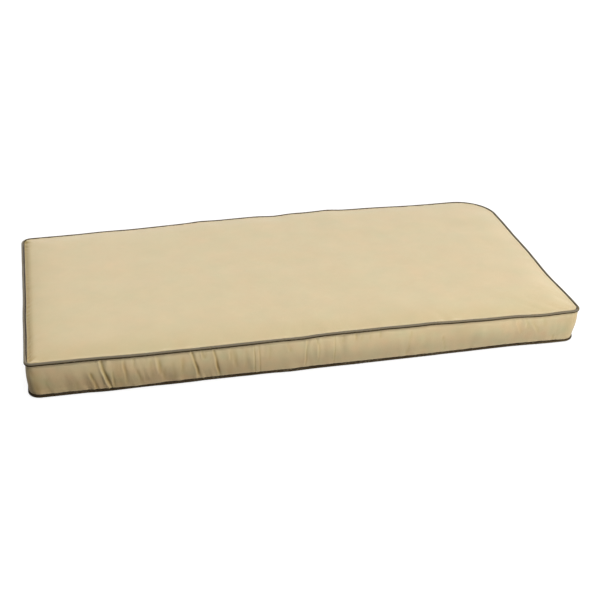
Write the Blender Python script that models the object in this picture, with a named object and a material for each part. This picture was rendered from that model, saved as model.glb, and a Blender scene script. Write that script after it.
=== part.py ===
"""Boxed bench cushion: a filled canvas cover with a round piping along its top and its bottom seam.

Frame: metres, +Z up. The origin is on the surface that the cushion rests on, under the middle of its box.
+X runs along the length and +Y runs from the front edge to the back edge.

Both seams are closed loops, front edge first and then anticlockwise seen from above. The cover's whole
shape is worked out from these two loops: the band hangs between them, and the two panels run in from them.
"""
import math

import bmesh
import bpy
import numpy as np

# Driving dimensions, in metres.
PIPING_RADIUS = 0.0030
PIECE_GAP = 0.0003          # clearance between the piping and the cover
BOTTOM_SEAM_HEIGHT = 0.0040  # middle of the lower piping, above the resting surface
TOP_SEAM_HEIGHT = 0.0640    # middle of the upper piping
EDGE_ROLL = 0.0060          # rise of the top panel over the filling's rounded edge
EDGE_ROLL_REACH = 0.0140    # how far in that roll dies away
CROWN = 0.0046              # further rise to the middle of the top panel
CROWN_REACH = 0.0700
CORNER_DIP = 0.35           # share of the rise that the panel loses beside a corner
CORNER_DIP_REACH = 0.045
BAND_BULGE = 0.0040         # how far the band stands out between the seams
CORNER_TIGHTNESS = 0.65     # share of that bulge which the band loses at a corner
CORNER_TIGHTNESS_REACH = 0.060
BAND_UNEVENNESS = 0.0007    # slow in and out of the band along the edges
WAVE_FADE = 0.060           # how far into a panel the unevenness of its seam is felt
INNER_CORNER_RADIUS = 0.045  # rounding of the crown's contours in the middle of a panel

# Mesh steps.
STATION_SPACING = 0.034
PIPING_STATION_SPACING = 0.018
CORNER_STEPS = 5
PIPING_SIDES = 8

# Corner points of each seam before rounding, and the radius there, in metres.
TOP_CORNERS = (
    # name, x, y, radius
    ("front_left", -0.5110, -0.2550, 0.011),
    ("front_right", 0.5125, -0.2630, 0.012),
    ("back_right", 0.4980, 0.2545, 0.062),
    ("back_left", -0.5110, 0.2490, 0.018),
)
BOTTOM_CORNERS = (
    ("front_left", -0.5090, -0.2630, 0.020),
    ("front_right", 0.5060, -0.2622, 0.020),
    ("back_right", 0.5000, 0.2550, 0.045),
    ("back_left", -0.5095, 0.2540, 0.022),
)

EDGES = ("front", "right", "back", "left")

# Where a seam wanders from the straight line between its corners. Along is the share of the edge's
# length, spread the share over which the wander dies away; outward and lift are in metres.
SEAM_WAVES = (
    # seam, edge, along, spread, outward, lift
    ("top", "front", 0.20, 0.140, 0.0021, -0.0004),
    ("top", "front", 0.56, 0.120, -0.0042, 0.0010),
    ("top", "front", 0.72, 0.090, -0.0040, 0.0006),
    ("top", "front", 0.89, 0.060, -0.0020, 0.0002),
    ("top", "right", 0.42, 0.200, -0.0016, 0.0004),
    ("top", "back", 0.38, 0.150, 0.0095, 0.0020),
    ("top", "back", 0.60, 0.150, 0.0058, 0.0012),
    ("top", "left", 0.55, 0.300, -0.0009, 0.0004),
    ("bottom", "front", 0.21, 0.070, 0.0020, 0.0000),
    ("bottom", "front", 0.50, 0.150, 0.0008, 0.0002),
    ("bottom", "front", 0.92, 0.080, -0.0014, 0.0002),
    ("bottom", "right", 0.50, 0.220, -0.0020, 0.0004),
    ("bottom", "back", 0.45, 0.200, 0.0050, 0.0002),
    ("bottom", "left", 0.50, 0.250, -0.0012, 0.0003),
)

# Creases of the band. The two places are metres along the edge from its middle, in the seams' direction,
# at the top and at the bottom seam; low and high are shares of the band's height between which it shows.
BAND_CREASES = (
    # edge, at_top, at_bottom, low, high, depth, width, ridge
    ("front", -0.4165, -0.3905, 0.00, 0.58, 0.0016, 0.0042, 0.0010),
    ("front", -0.3850, -0.3650, 0.00, 0.95, 0.0034, 0.0046, 0.0022),
    ("front", -0.3440, -0.3340, 0.05, 0.90, 0.0012, 0.0060, 0.0006),
    ("front", -0.2860, -0.2690, 0.40, 1.00, 0.0008, 0.0060, 0.0010),
    ("front", -0.2230, -0.2070, 0.12, 0.98, 0.0026, 0.0044, 0.0018),
    ("front", -0.1760, -0.1680, 0.10, 0.92, 0.0020, 0.0044, 0.0014),
    ("front", -0.1060, -0.1060, 0.00, 1.00, 0.0012, 0.0030, 0.0010),
    ("front", -0.0120, -0.0130, 0.05, 1.00, 0.0012, 0.0034, 0.0008),
    ("front", 0.0110, 0.0150, 0.10, 1.00, 0.0010, 0.0032, 0.0006),
    ("front", 0.0380, 0.0400, 0.05, 1.00, 0.0012, 0.0032, 0.0010),
    ("front", 0.3780, 0.4150, 0.25, 0.90, 0.0010, 0.0050, 0.0008),
    ("right", -0.1450, -0.1300, 0.10, 0.95, 0.0014, 0.0050, 0.0010),
    ("right", 0.0900, 0.1050, 0.20, 1.00, 0.0016, 0.0050, 0.0008),
    ("back", -0.3300, -0.3450, 0.05, 0.95, 0.0020, 0.0050, 0.0012),
    ("back", -0.0600, -0.0600, 0.00, 1.00, 0.0012, 0.0032, 0.0010),
    ("back", 0.2700, 0.2560, 0.10, 1.00, 0.0018, 0.0050, 0.0010),
    ("left", -0.1200, -0.1350, 0.10, 1.00, 0.0018, 0.0050, 0.0010),
    ("left", 0.1100, 0.1180, 0.05, 0.90, 0.0014, 0.0050, 0.0008),
)
CREASE_STATIONS = (-3.2, -1.7, -0.7, 0.0, 1.3)  # lines laid along a crease, in crease widths
CREASE_FADE = 0.14          # share of the band's height over which a crease dies away
RIDGE_OFFSET = 1.7          # the ridge beside a crease, in crease widths before it

# Rounded groove round each piping, in degrees from straight outward and turning towards the panel.
GROOVE_ANGLES = (262.0, 232.0, 201.0, 170.0)
BAND_ROWS = (0.06, 0.24, 0.50, 0.76, 0.94)         # shares of the band's height
TOP_RINGS = (0.0065, 0.0115, 0.020, 0.035, 0.062, 0.105, 0.155, 0.205)  # distances in from the seam
UNDERSIDE_RINGS = (                                # distance in from the seam, height
    (0.0072, 0.0010),
    (0.0140, 0.0),
)

CANVAS_COLOUR = (0.600, 0.498, 0.314)
PIPING_COLOUR = (0.110, 0.103, 0.078)
CANVAS_ROUGHNESS = 0.85
PIPING_ROUGHNESS = 0.80


def smooth_step(low, high, value):
    """0 below low, 1 above high, and a smooth S between them."""
    share = np.clip((value - low) / (high - low), 0.0, 1.0)
    return share * share * (3.0 - 2.0 * share)


class Outline:
    """A four-sided outline with rounded corners, read at stations (side, share along it).

    Even sides are the edges and odd sides the corner arcs that follow them.
    """

    def __init__(self, corners, inset=0.0, inner_share=0.0):
        points = np.array([[x, y] for _, x, y, _ in corners])
        radii = np.array([radius for _, _, _, radius in corners])
        ahead = np.roll(points, -1, axis=0) - points
        ahead /= np.linalg.norm(ahead, axis=1)[:, None]
        self.normals = np.stack([ahead[:, 1], -ahead[:, 0]], axis=1)
        before = np.roll(self.normals, 1, axis=0)
        mitre = (before + self.normals) / (1.0 + (before * self.normals).sum(axis=1))[:, None]
        self.radii = radii * (1.0 - inner_share) + INNER_CORNER_RADIUS * inner_share
        self.centres = points - mitre * (inset + self.radii)[:, None]

    def edge_ends(self, edge):
        """First and last point of an edge's straight run."""
        after = (edge + 1) % 4
        first = self.centres[edge] + self.normals[edge] * self.radii[edge]
        last = self.centres[after] + self.normals[edge] * self.radii[after]
        return first, last

    def edge_length(self, edge):
        first, last = self.edge_ends(edge)
        return float(np.linalg.norm(last - first))

    def read(self, side, share):
        """Point and outward normal at one station."""
        edge = side // 2
        if side % 2 == 0:
            first, last = self.edge_ends(edge)
            return first + (last - first) * share, self.normals[edge]
        corner = (edge + 1) % 4
        start = math.atan2(self.normals[edge][1], self.normals[edge][0])
        end = math.atan2(self.normals[corner][1], self.normals[corner][0])
        angle = start + ((end - start) % (2.0 * math.pi)) * share
        normal = np.array([math.cos(angle), math.sin(angle)])
        return self.centres[corner] + normal * self.radii[corner], normal


def edge_places(edge, top, bottom):
    """Stations of one edge: (share on the top seam, share on the bottom seam), regular ones and creases."""
    lengths = (top.edge_length(edge), bottom.edge_length(edge))
    places = []
    for crease_edge, at_top, at_bottom, _, _, _, width, _ in BAND_CREASES:
        if crease_edge != EDGES[edge]:
            continue
        for step in CREASE_STATIONS:
            places.append((0.5 + (at_top + step * width) / lengths[0],
                           0.5 + (at_bottom + step * width) / lengths[1]))
    count = round(lengths[0] / STATION_SPACING)
    room = 0.45 / count
    creased = list(places)
    for number in range(1, count):
        share = number / count
        if all(min(abs(share - a), abs(share - b)) > room and (share - a) * (share - b) > 0.0
               for a, b in creased):
            places.append((share, share))
    return sorted(places)


def make_stations(top, bottom):
    """All stations round the cushion as (side, share on the top seam, share on the bottom seam)."""
    stations = []
    for edge in range(4):
        for top_share, bottom_share in edge_places(edge, top, bottom):
            stations.append((2 * edge, top_share, bottom_share))
        for step in range(CORNER_STEPS + 1):
            share = step / CORNER_STEPS
            stations.append((2 * edge + 1, share, share))
    return stations


class Seam:
    """One seam loop: at every station a point, an outward normal and the places along its edge."""

    def __init__(self, name, corners, height, stations, use_top_share):
        self.name = name
        self.corners = corners
        self.height = height
        self.sides = [side for side, _, _ in stations]
        self.shares = [top if use_top_share else bottom for _, top, bottom in stations]
        self.outline = Outline(corners)
        reads = [self.outline.read(side, share) for side, share in zip(self.sides, self.shares)]
        flat = np.array([point for point, _ in reads])
        self.normals = np.array([normal for _, normal in reads])
        self.outward, self.lift = self.waves()
        lifted = height + self.lift
        self.points = np.column_stack([flat + self.normals * self.outward[:, None], lifted])
        self.along, self.from_corner = self.edge_distances()

    def waves(self):
        """Sum of the soft bumps in SEAM_WAVES, each a bell curve along its own edge that is 0 at its ends."""
        outward = np.zeros(len(self.sides))
        lift = np.zeros(len(self.sides))
        shares = np.array(self.shares)
        for seam, edge, along, spread, wave_outward, wave_lift in SEAM_WAVES:
            if seam != self.name:
                continue
            on_edge = np.array([side == 2 * EDGES.index(edge) for side in self.sides])
            bell = np.exp(-((shares - along) / spread) ** 2) * smooth_step(0.0, 0.12, shares)
            bell *= smooth_step(0.0, 0.12, 1.0 - shares)
            outward += np.where(on_edge, bell * wave_outward, 0.0)
            lift += np.where(on_edge, bell * wave_lift, 0.0)
        return outward, lift

    def edge_distances(self):
        """Metres along the edge from its middle, and metres to the nearer corner, which is 0 on an arc."""
        along = np.zeros(len(self.sides))
        from_corner = np.zeros(len(self.sides))
        for number, (side, share) in enumerate(zip(self.sides, self.shares)):
            if side % 2 == 0:
                length = self.outline.edge_length(side // 2)
                along[number] = (share - 0.5) * length
                from_corner[number] = min(share, 1.0 - share) * length
        return along, from_corner

    def ring(self, inset, deepest):
        """Points of a contour of the panel, at a distance in from the seam, rounder towards the middle."""
        contour = Outline(self.corners, inset, inset / deepest)
        flat = np.array([contour.read(side, share)[0] for side, share in zip(self.sides, self.shares)])
        fade = math.exp(-inset / WAVE_FADE)
        return flat + self.normals * (self.outward * fade)[:, None], self.lift * fade


def groove_rows(seam, flip):
    """Rows of the cover round a piping, from the band to the panel; flip is 1 at the top, -1 at the bottom."""
    half_step = math.radians(abs(GROOVE_ANGLES[0] - GROOVE_ANGLES[-1]) / (len(GROOVE_ANGLES) - 1) / 2.0)
    reach = (PIPING_RADIUS + PIECE_GAP) / math.cos(half_step)
    rows = []
    for degrees in GROOVE_ANGLES:
        angle = math.radians(degrees)
        row = seam.points.copy()
        row[:, :2] += seam.normals * (reach * math.cos(angle))
        row[:, 2] += flip * reach * math.sin(angle)
        rows.append(row)
    return rows


def crease_relief(edges, along, height_share):
    """How far the band stands out at each station of a row, from all its creases: a trough and a ridge."""
    relief = np.zeros(len(along))
    for edge, at_top, at_bottom, low, high, depth, width, ridge in BAND_CREASES:
        centre = at_bottom + (at_top - at_bottom) * height_share
        steps = (along - centre) / width
        shape = ridge * np.exp(-(steps + RIDGE_OFFSET) ** 2) - depth * np.exp(-steps ** 2)
        window = smooth_step(low - CREASE_FADE / 2.0, low + CREASE_FADE, height_share)
        window *= 1.0 - smooth_step(high - CREASE_FADE, high + CREASE_FADE / 2.0, height_share)
        relief += np.where(edges == EDGES.index(edge), shape * window, 0.0)
    return relief


def band_rows(top, bottom, top_edge_row, bottom_edge_row):
    """Rows of the band, bottom to top: straight between its seams, plus a bulge, unevenness and creases."""
    edges = np.array([side // 2 if side % 2 == 0 else -1 for side in top.sides])
    tightness = CORNER_TIGHTNESS * np.exp(-(top.from_corner / CORNER_TIGHTNESS_REACH) ** 2)
    rows = []
    for share in BAND_ROWS:
        row = bottom_edge_row + (top_edge_row - bottom_edge_row) * share
        normals = bottom.normals + (top.normals - bottom.normals) * share
        along = bottom.along + (top.along - bottom.along) * share
        wander = np.sin(along * 17.0 + edges) + np.sin(along * 41.0 + 2.0 * edges + share)
        arch = math.sin(math.pi * share) ** 0.7
        out = BAND_BULGE * arch * (1.0 - tightness)
        out += BAND_UNEVENNESS * wander * arch * (1.0 - tightness)
        out += crease_relief(edges, along, share)
        row[:, :2] += normals * out[:, None]
        rows.append(row)
    return rows


def top_rows(top):
    """Rings of the top panel: a quick rise over the foam's edge, then a slow one to the crown."""
    rows = []
    for inset in TOP_RINGS:
        flat, lift = top.ring(inset, TOP_RINGS[-1])
        roll = EDGE_ROLL * (1.0 - math.exp(-inset / EDGE_ROLL_REACH))
        crown = CROWN * (1.0 - math.exp(-inset / CROWN_REACH))
        closeness = np.exp(-((top.from_corner + inset) / CORNER_DIP_REACH) ** 2)
        rise = (roll + crown) * (1.0 - CORNER_DIP * closeness)
        rows.append(np.column_stack([flat, top.height + lift + rise]))
    return rows


def underside_rows(bottom):
    """Rings of the bottom panel: it curls down from the seam and lies flat on the surface."""
    rows = []
    for inset, height in UNDERSIDE_RINGS:
        flat, _ = bottom.ring(inset, TOP_RINGS[-1])
        rows.append(np.column_stack([flat, np.full(len(flat), height)]))
    return rows


def mesh_object(name, points, faces, material):
    """A smooth-shaded object in the scene, made of the given points and faces."""
    mesh = bpy.data.meshes.new(name)
    mesh.from_pydata(points.tolist(), [], faces)
    mesh.update()
    work = bmesh.new()
    work.from_mesh(mesh)
    bmesh.ops.recalc_face_normals(work, faces=work.faces)
    work.to_mesh(mesh)
    work.free()
    mesh.shade_smooth()
    mesh.materials.append(material)
    piece = bpy.data.objects.new(name, mesh)
    bpy.context.scene.collection.objects.link(piece)
    return piece


def strip_faces(row_count, row_length, closed_rows):
    """Quads between neighbouring rows of points, each row a closed ring; closed_rows joins last to first."""
    faces = []
    pairs = row_count if closed_rows else row_count - 1
    for row in range(pairs):
        low = row * row_length
        high = ((row + 1) % row_count) * row_length
        for number in range(row_length):
            after = (number + 1) % row_length
            faces.append((low + number, low + after, high + after, high + number))
    return faces


def make_cushion(top, bottom, material):
    """The filled cover, from the flat underside up over the band to the crown, as one closed body."""
    bottom_groove = groove_rows(bottom, -1.0)
    top_groove = groove_rows(top, 1.0)
    rows = underside_rows(bottom)[::-1]
    rows += bottom_groove[::-1]
    rows += band_rows(top, bottom, top_groove[0], bottom_groove[0])
    rows += top_groove
    rows += top_rows(top)
    count = len(top.sides)
    faces = strip_faces(len(rows), count, False)
    faces.append(tuple(range(count)))
    faces.append(tuple(range((len(rows) - 1) * count, len(rows) * count)))
    return mesh_object("cushion", np.vstack(rows), faces, material)


def spaced_stations(seam):
    """Numbers of the stations that the piping uses: all on the arcs, and well spaced ones on the edges."""
    kept = []
    last = None
    for number, side in enumerate(seam.sides):
        point = seam.points[number]
        near = last is not None and np.linalg.norm(point - last) < PIPING_STATION_SPACING
        leads_to_corner = side % 2 == 0 and seam.from_corner[number] < PIPING_STATION_SPACING / 2.0
        if side % 2 == 0 and (near or leads_to_corner):
            continue
        kept.append(number)
        last = point
    return kept


def make_piping(name, seam, material):
    """A round cord carried along the seam loop, its section standing square to the seam's outward normal."""
    kept = spaced_stations(seam)
    points = seam.points[kept]
    normals = seam.normals[kept]
    rows = []
    for side in range(PIPING_SIDES):
        angle = 2.0 * math.pi * (side + 0.5) / PIPING_SIDES
        row = points.copy()
        row[:, :2] += normals * (PIPING_RADIUS * math.cos(angle))
        row[:, 2] += PIPING_RADIUS * math.sin(angle)
        rows.append(row)
    faces = strip_faces(PIPING_SIDES, len(kept), True)
    return mesh_object(name, np.vstack(rows), faces, material)


def make_material(name, colour, roughness):
    """A plain cloth finish."""
    material = bpy.data.materials.new(name)
    material.use_nodes = True
    shader = material.node_tree.nodes["Principled BSDF"]
    shader.inputs["Base Color"].default_value = (*colour, 1.0)
    shader.inputs["Roughness"].default_value = roughness
    shader.inputs["Metallic"].default_value = 0.0
    return material


def clear_scene():
    """Remove every object of the scene."""
    for thing in list(bpy.context.scene.objects):
        bpy.data.objects.remove(thing, do_unlink=True)


def main():
    clear_scene()
    stations = make_stations(Outline(TOP_CORNERS), Outline(BOTTOM_CORNERS))
    top = Seam("top", TOP_CORNERS, TOP_SEAM_HEIGHT, stations, True)
    bottom = Seam("bottom", BOTTOM_CORNERS, BOTTOM_SEAM_HEIGHT, stations, False)
    canvas = make_material("canvas", CANVAS_COLOUR, CANVAS_ROUGHNESS)
    piping = make_material("piping_canvas", PIPING_COLOUR, PIPING_ROUGHNESS)
    make_cushion(top, bottom, canvas)
    make_piping("top_piping", top, piping)
    make_piping("bottom_piping", bottom, piping)


main()
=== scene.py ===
"""Boxed bench cushion in beige canvas with charcoal piping: the looks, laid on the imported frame.

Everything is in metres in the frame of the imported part, unless a table says otherwise. Both seams are
closed loops that start in the middle of the front left corner and run anticlockwise seen from above. The
cover is one skin of rows round these loops: out over the underside, round the lower piping, up the band,
round the upper piping and in to the crown. A place on an edge is given in metres from the edge's middle.
"""

import math

import bpy
import numpy as np
from mathutils import Matrix


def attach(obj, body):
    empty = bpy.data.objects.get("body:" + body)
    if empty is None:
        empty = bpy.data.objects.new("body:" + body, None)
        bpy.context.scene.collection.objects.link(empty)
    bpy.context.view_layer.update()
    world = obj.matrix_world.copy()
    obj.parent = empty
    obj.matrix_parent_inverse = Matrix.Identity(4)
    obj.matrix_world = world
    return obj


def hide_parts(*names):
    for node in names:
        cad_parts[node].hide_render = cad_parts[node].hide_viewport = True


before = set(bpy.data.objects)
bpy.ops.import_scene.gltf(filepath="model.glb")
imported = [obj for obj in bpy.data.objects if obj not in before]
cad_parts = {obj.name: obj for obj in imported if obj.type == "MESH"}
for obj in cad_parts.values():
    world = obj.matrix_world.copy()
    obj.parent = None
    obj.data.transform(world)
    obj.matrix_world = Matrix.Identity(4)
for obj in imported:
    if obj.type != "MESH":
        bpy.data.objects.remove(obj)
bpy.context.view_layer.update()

# ---------------------------------------------------------------- sizes of the cushion, as in the part itself
PIPING_RADIUS = 0.0030
PIECE_GAP = 0.0003
BOTTOM_SEAM_HEIGHT = 0.0040
TOP_SEAM_HEIGHT = 0.0640
BAND_HEIGHT = TOP_SEAM_HEIGHT - BOTTOM_SEAM_HEIGHT
EDGE_ROLL = 0.0060
EDGE_ROLL_REACH = 0.0140
CROWN = 0.0046
CROWN_REACH = 0.0700
CORNER_DIP = 0.35
CORNER_DIP_REACH = 0.045
BAND_BULGES = (0.0054, 0.0026, 0.0040, 0.0028)      # front, right, back, left
BULGE_LEAN = 1.25                   # above 1 the band is fullest above its middle
CORNER_BULGE = 0.0020
CORNER_BULGE_REACH = 0.060
BAND_UNEVENNESS = 0.0007
UNEVEN_PACES = (17.0, 41.0)         # radians to the metre along an edge
WAVE_FADE = 0.060
WAVE_END_FADE = 0.12                # the share of an edge over which its waves die out towards a corner
INNER_CORNER_RADIUS = 0.045
DEEPEST_RING = 0.205
EDGES = ("front", "right", "back", "left")
EDGE_HEADINGS = np.array([(1.0, 0.0), (0.0, 1.0), (-1.0, 0.0), (0.0, -1.0)])


def on_edges(**tables):
    """Rows given edge by edge, as one table with the edge's name first in each row."""
    return tuple((edge, *row) for edge, rows in tables.items() for row in rows)


TOP_CORNERS = (
    # x, y, radius
    (-0.5110, -0.2550, 0.011), (0.5118, -0.2626, 0.016), (0.4968, 0.2534, 0.078), (-0.5110, 0.2490, 0.018),
)
BOTTOM_CORNERS = (
    (-0.5090, -0.2630, 0.020), (0.5048, -0.2622, 0.021), (0.5000, 0.2550, 0.045), (-0.5095, 0.2540, 0.022),
)
SEAM_WAVES = {
    # place and spread as shares of the edge's length, outward, lift
    "top": on_edges(
        front=((0.2, 0.14, 0.0021, -0.0004), (0.56, 0.12, -0.0042, 0.001), (0.72, 0.09, -0.004, 0.0006),
               (0.89, 0.06, -0.002, 0.0002)),
        right=((0.42, 0.2, -0.0016, 0.0004),),
        back=((0.38, 0.15, 0.0095, 0.002), (0.6, 0.15, 0.0058, 0.0012)),
        left=((0.55, 0.3, -0.0009, 0.0004),)),
    "bottom": on_edges(
        front=((0.21, 0.07, 0.002, 0.0), (0.5, 0.15, 0.0008, 0.0002), (0.92, 0.08, -0.0014, 0.0002)),
        right=((0.5, 0.22, -0.002, 0.0004),),
        back=((0.45, 0.2, 0.005, 0.0002),),
        left=((0.5, 0.25, -0.0012, 0.0003),)),
}
SEAM_RIPPLES = {
    # place, spread, outward, lift; the scene's own, up to 4 mm
    "top": on_edges(
        front=((-0.385, 0.05, 0.0, 0.0011), (-0.25, 0.04, 0.0, 0.0005), (-0.02, 0.026, 0.0006, -0.0011),
               (0.14, 0.018, 0.0, 0.0008), (0.23, 0.02, 0.0, 0.0011), (0.3, 0.03, 0.0, 0.0007),
               (0.455, 0.04, 0.0006, -0.0036)),
        right=((-0.085, 0.06, -0.003, 0.0), (0.1, 0.04, -0.0006, -0.0004)),
        back=((-0.26, 0.05, 0.0012, 0.0008), (-0.31, 0.05, 0.0, 0.001), (-0.179, 0.022, 0.0, 0.002),
              (-0.122, 0.018, 0.0, -0.001), (-0.062, 0.032, 0.0, -0.003), (0.1, 0.022, 0.0, 0.0015),
              (0.31, 0.04, 0.001, 0.0006)),
        left=((0.08, 0.04, 0.0008, 0.0006),)),
    "bottom": on_edges(
        front=((-0.37, 0.03, 0.0017, 0.0), (-0.295, 0.03, -0.0012, 0.0), (-0.04, 0.022, 0.0017, 0.0),
               (0.33, 0.13, -0.0019, 0.0))),
}
CREASE_FADE = 0.14                  # a share of the band's height
CREASES = on_edges(
    # from and to as shares of the band's height; in millimetres place above, place below, depth, width, ridge
    front=((0.1, 0.95, -503.0, -495.8, 0.5, 5.0, 0.3), (0.0, 0.6, -511.0, -503.7, 0.3, 3.6, 0.3),
           (0.0, 0.55, -482.0, -474.1, 0.3, 5.0, 0.1), (0.0, 0.4, -433.0, -423.6, 0.3, 4.0, 0.1),
           (0.0, 0.6, -408.0, -392.0, 1.5, 2.5, 0.9), (0.0, 1.0, -383.5, -366.8, 2.7, 2.7, 1.8),
           (0.05, 0.6, -366.0, -360.3, 0.8, 2.2, 0.6), (0.15, 0.95, -343.0, -338.6, 0.9, 2.4, 0.4),
           (0.05, 0.6, -324.0, -311.9, 0.7, 2.6, 0.4), (0.3, 0.9, -296.0, -292.1, 0.4, 3.0, 0.2),
           (0.35, 1.0, -284.0, -275.8, 1.2, 2.4, 1.1), (0.05, 0.6, -274.0, -273.3, 0.5, 2.6, 0.3),
           (0.1, 0.7, -256.0, -254.5, 0.4, 2.8, 0.3), (0.3, 0.85, -239.0, -239.7, 0.7, 2.2, 0.3),
           (0.12, 1.0, -222.5, -209.0, 2.3, 2.2, 0.7), (0.75, 1.05, -203.0, -193.2, 0.9, 2.0, 0.7),
           (0.75, 1.05, -197.0, -204.1, 0.7, 1.8, 0.4), (0.06, 1.0, -183.0, -172.9, 1.8, 2.1, 0.6),
           (0.55, 1.05, -151.0, -153.6, 0.7, 2.0, 0.5), (0.3, 0.95, -145.0, -142.8, 0.8, 2.1, 0.4),
           (0.2, 1.0, -124.0, -126.0, 0.3, 2.6, 0.2), (0.45, 1.05, -82.0, -83.4, 0.4, 2.4, 0.3),
           (0.65, 1.05, -48.0, -35.0, 0.5, 2.4, 0.7), (0.0, 1.1, -12.0, -17.7, 0.6, 1.5, 0.4),
           (0.75, 1.05, 4.0, 20.4, 0.5, 1.6, 0.2), (0.15, 0.9, 10.0, 6.6, 0.5, 1.5, 0.2),
           (0.0, 1.05, 40.0, 35.4, 0.5, 1.4, 0.3), (0.05, 0.95, 45.0, 40.2, 0.1, 1.4, 0.2),
           (0.78, 1.1, 56.0, 47.1, 1.0, 1.8, 0.9), (0.8, 1.1, 79.0, 77.8, 1.0, 1.8, 0.9),
           (0.8, 1.1, 92.0, 83.7, 0.8, 1.6, 0.7), (0.82, 1.1, 107.0, 98.5, 1.0, 1.6, 0.8),
           (0.8, 1.1, 124.0, 122.3, 1.0, 2.0, 0.9), (0.05, 0.9, 185.0, 172.7, 0.5, 1.8, 0.3),
           (0.1, 0.6, 242.0, 247.9, 0.6, 1.8, 0.3), (0.45, 1.0, 386.0, 404.1, 0.5, 2.4, 0.9),
           (0.6, 1.05, 405.0, 413.0, 0.5, 2.4, 0.8), (0.4, 0.95, 416.0, 437.8, 0.5, 2.6, 0.6),
           (0.65, 1.05, 439.0, 449.6, 0.5, 2.4, 0.5), (0.0, 0.25, 464.0, 459.5, 0.5, 2.2, 0.4),
           (0.0, 0.3, 482.0, 465.4, 0.3, 2.2, 0.3), (0.6, 1.05, 504.0, 490.2, 0.8, 2.4, 0.4)),
    right=((0.08, 0.98, -143.0, -129.0, 2.0, 3.0, 1.4), (0.3, 1.0, -40.0, -46.0, 0.7, 2.6, 0.5),
           (0.18, 1.0, 91.0, 106.0, 1.9, 2.8, 1.2), (0.1, 0.8, 170.0, 162.0, 0.8, 2.6, 0.5)),
    back=((0.03, 0.98, -329.0, -344.0, 2.4, 3.0, 1.6), (0.35, 1.0, -247.0, -240.0, 0.8, 2.6, 0.6),
          (0.05, 0.7, -160.0, -166.0, 0.9, 2.6, 0.5), (0.3, 1.0, 70.0, 78.0, 0.8, 2.4, 0.5),
          (0.05, 0.85, 164.0, 158.0, 1.0, 2.6, 0.6), (0.08, 1.0, 271.0, 257.0, 2.2, 2.8, 1.4),
          (0.2, 0.95, 360.0, 368.0, 0.8, 2.6, 0.5)),
    left=((0.2, 1.0, -195.0, -188.0, 0.8, 2.6, 0.6), (0.08, 1.0, -119.0, -134.0, 2.1, 2.8, 1.4),
          (0.2, 0.9, 15.0, 21.0, 0.7, 2.6, 0.5), (0.05, 0.92, 111.0, 119.0, 1.6, 2.8, 1.0),
          (0.1, 0.9, 190.0, 182.0, 0.9, 2.6, 0.6))
)
LOOSENESS = on_edges(
    # place, spread, how much more the cloth is gathered there
    front=((-0.29, 0.13, 1.2), (-0.485, 0.04, -0.6), (0.25, 0.12, -0.7), (0.425, 0.05, 0.6))
)
SOFT_HOLLOWS = on_edges(
    # place, spread, how deep in shadow the band is there
    front=((-0.494, 0.008, 0.26), (-0.397, 0.008, 0.18), (-0.352, 0.01, 0.28), (-0.242, 0.009, 0.14),
           (-0.155, 0.01, 0.12), (0.205, 0.02, 0.08), (0.285, 0.015, 0.08), (0.49, 0.01, 0.16))
)
JOIN_SEAMS = (("front", -0.1050), ("back", -0.0600))    # where the band's ends are sewn together
JOIN_HALF_WIDTH = 0.0045

# ---------------------------------------------------------------- the skin's rows
STATIONS = (208, 80, 208, 80)       # along the front, right, back and left, from corner to corner
CORNER_DENSITY = 1.6                # extra stations near a corner
CORNER_DENSITY_REACH = 0.030
DENSITY_SAMPLES = 4001
DENSE_PLACES = on_edges(
    # place, extra stations, reach
    front=((-0.374, 1.5, 0.03), (-0.214, 1.4, 0.014), (-0.176, 1.3, 0.012), (-0.106, 2.6, 0.009),
           (-0.0125, 2.0, 0.007), (0.011, 1.6, 0.008), (0.042, 2.0, 0.008)),
    back=((-0.06, 2.6, 0.009),)
)
GROOVE_ANGLES = (262.0, 232.0, 201.0, 170.0)
GROOVE_HALF_STEP = 15.0             # half the angle between two rows, so that the faces clear the cord
WRAP_ANGLE = 136.0                  # how far the top panel climbs over the upper piping from inside
FRONT_WRAP_ANGLE = 80.0
WRAP_SCALLOPS = on_edges(
    # place, spread, further degrees
    front=((-0.445, 0.028, 56.0), (-0.22, 0.018, -10.0), (-0.155, 0.02, 10.0), (-0.055, 0.03, -10.0),
           (0.04, 0.04, -8.0), (0.14, 0.015, -10.0), (0.235, 0.014, -8.0), (0.31, 0.04, -6.0),
           (0.42, 0.075, -10.0))
)
LEFT_INNER_ANGLE = 190.0
LEFT_WRAP_ANGLE = 152.0             # the left side's panel stays low beside it
FRONT_WRAP_RUN = (0.495, 0.040)     # half the length of the front with its own wrap, and how far it eases
LEFT_WRAP_RUN = (0.238, 0.060)
HEM_ANGLES = (276.0, 289.0)         # how far the band folds over the lower piping from outside
HEM_STEP = 0.0010                   # how far apart across the section the folded rows are
HEM_SCALLOPS = on_edges(
    # place, spread, further degrees
    front=((-0.322, 0.036, 38.0), (-0.27, 0.012, -10.0), (-0.085, 0.035, 18.0), (0.25, 0.18, 18.0),
           (-0.47, 0.006, 9.0), (-0.453, 0.005, -9.0), (-0.434, 0.008, 10.0), (-0.416, 0.005, -8.0),
           (-0.4, 0.006, 12.0), (-0.388, 0.004, -8.0), (-0.369, 0.007, 9.0), (-0.18, 0.06, 7.0),
           (0.05, 0.04, -5.0), (0.495, 0.016, 24.0))
)
UNDERSIDE_ROWS = (
    # distance in from the seam, height, halvings of the station count
    (0.0056, 0.0018, 0), (0.0085, 0.0006, 0), (0.0140, 0.0, 1), (0.0380, 0.0, 1),
    (0.0600, 0.0, 2), (0.1000, 0.0, 2), (0.1500, 0.0, 3), (DEEPEST_RING, 0.0, 3),
)
BAND_ROWS = (0.05, 0.10, 0.17, 0.25, 0.34, 0.43, 0.52, 0.61, 0.70, 0.79, 0.87, 0.94, 0.98)
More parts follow.
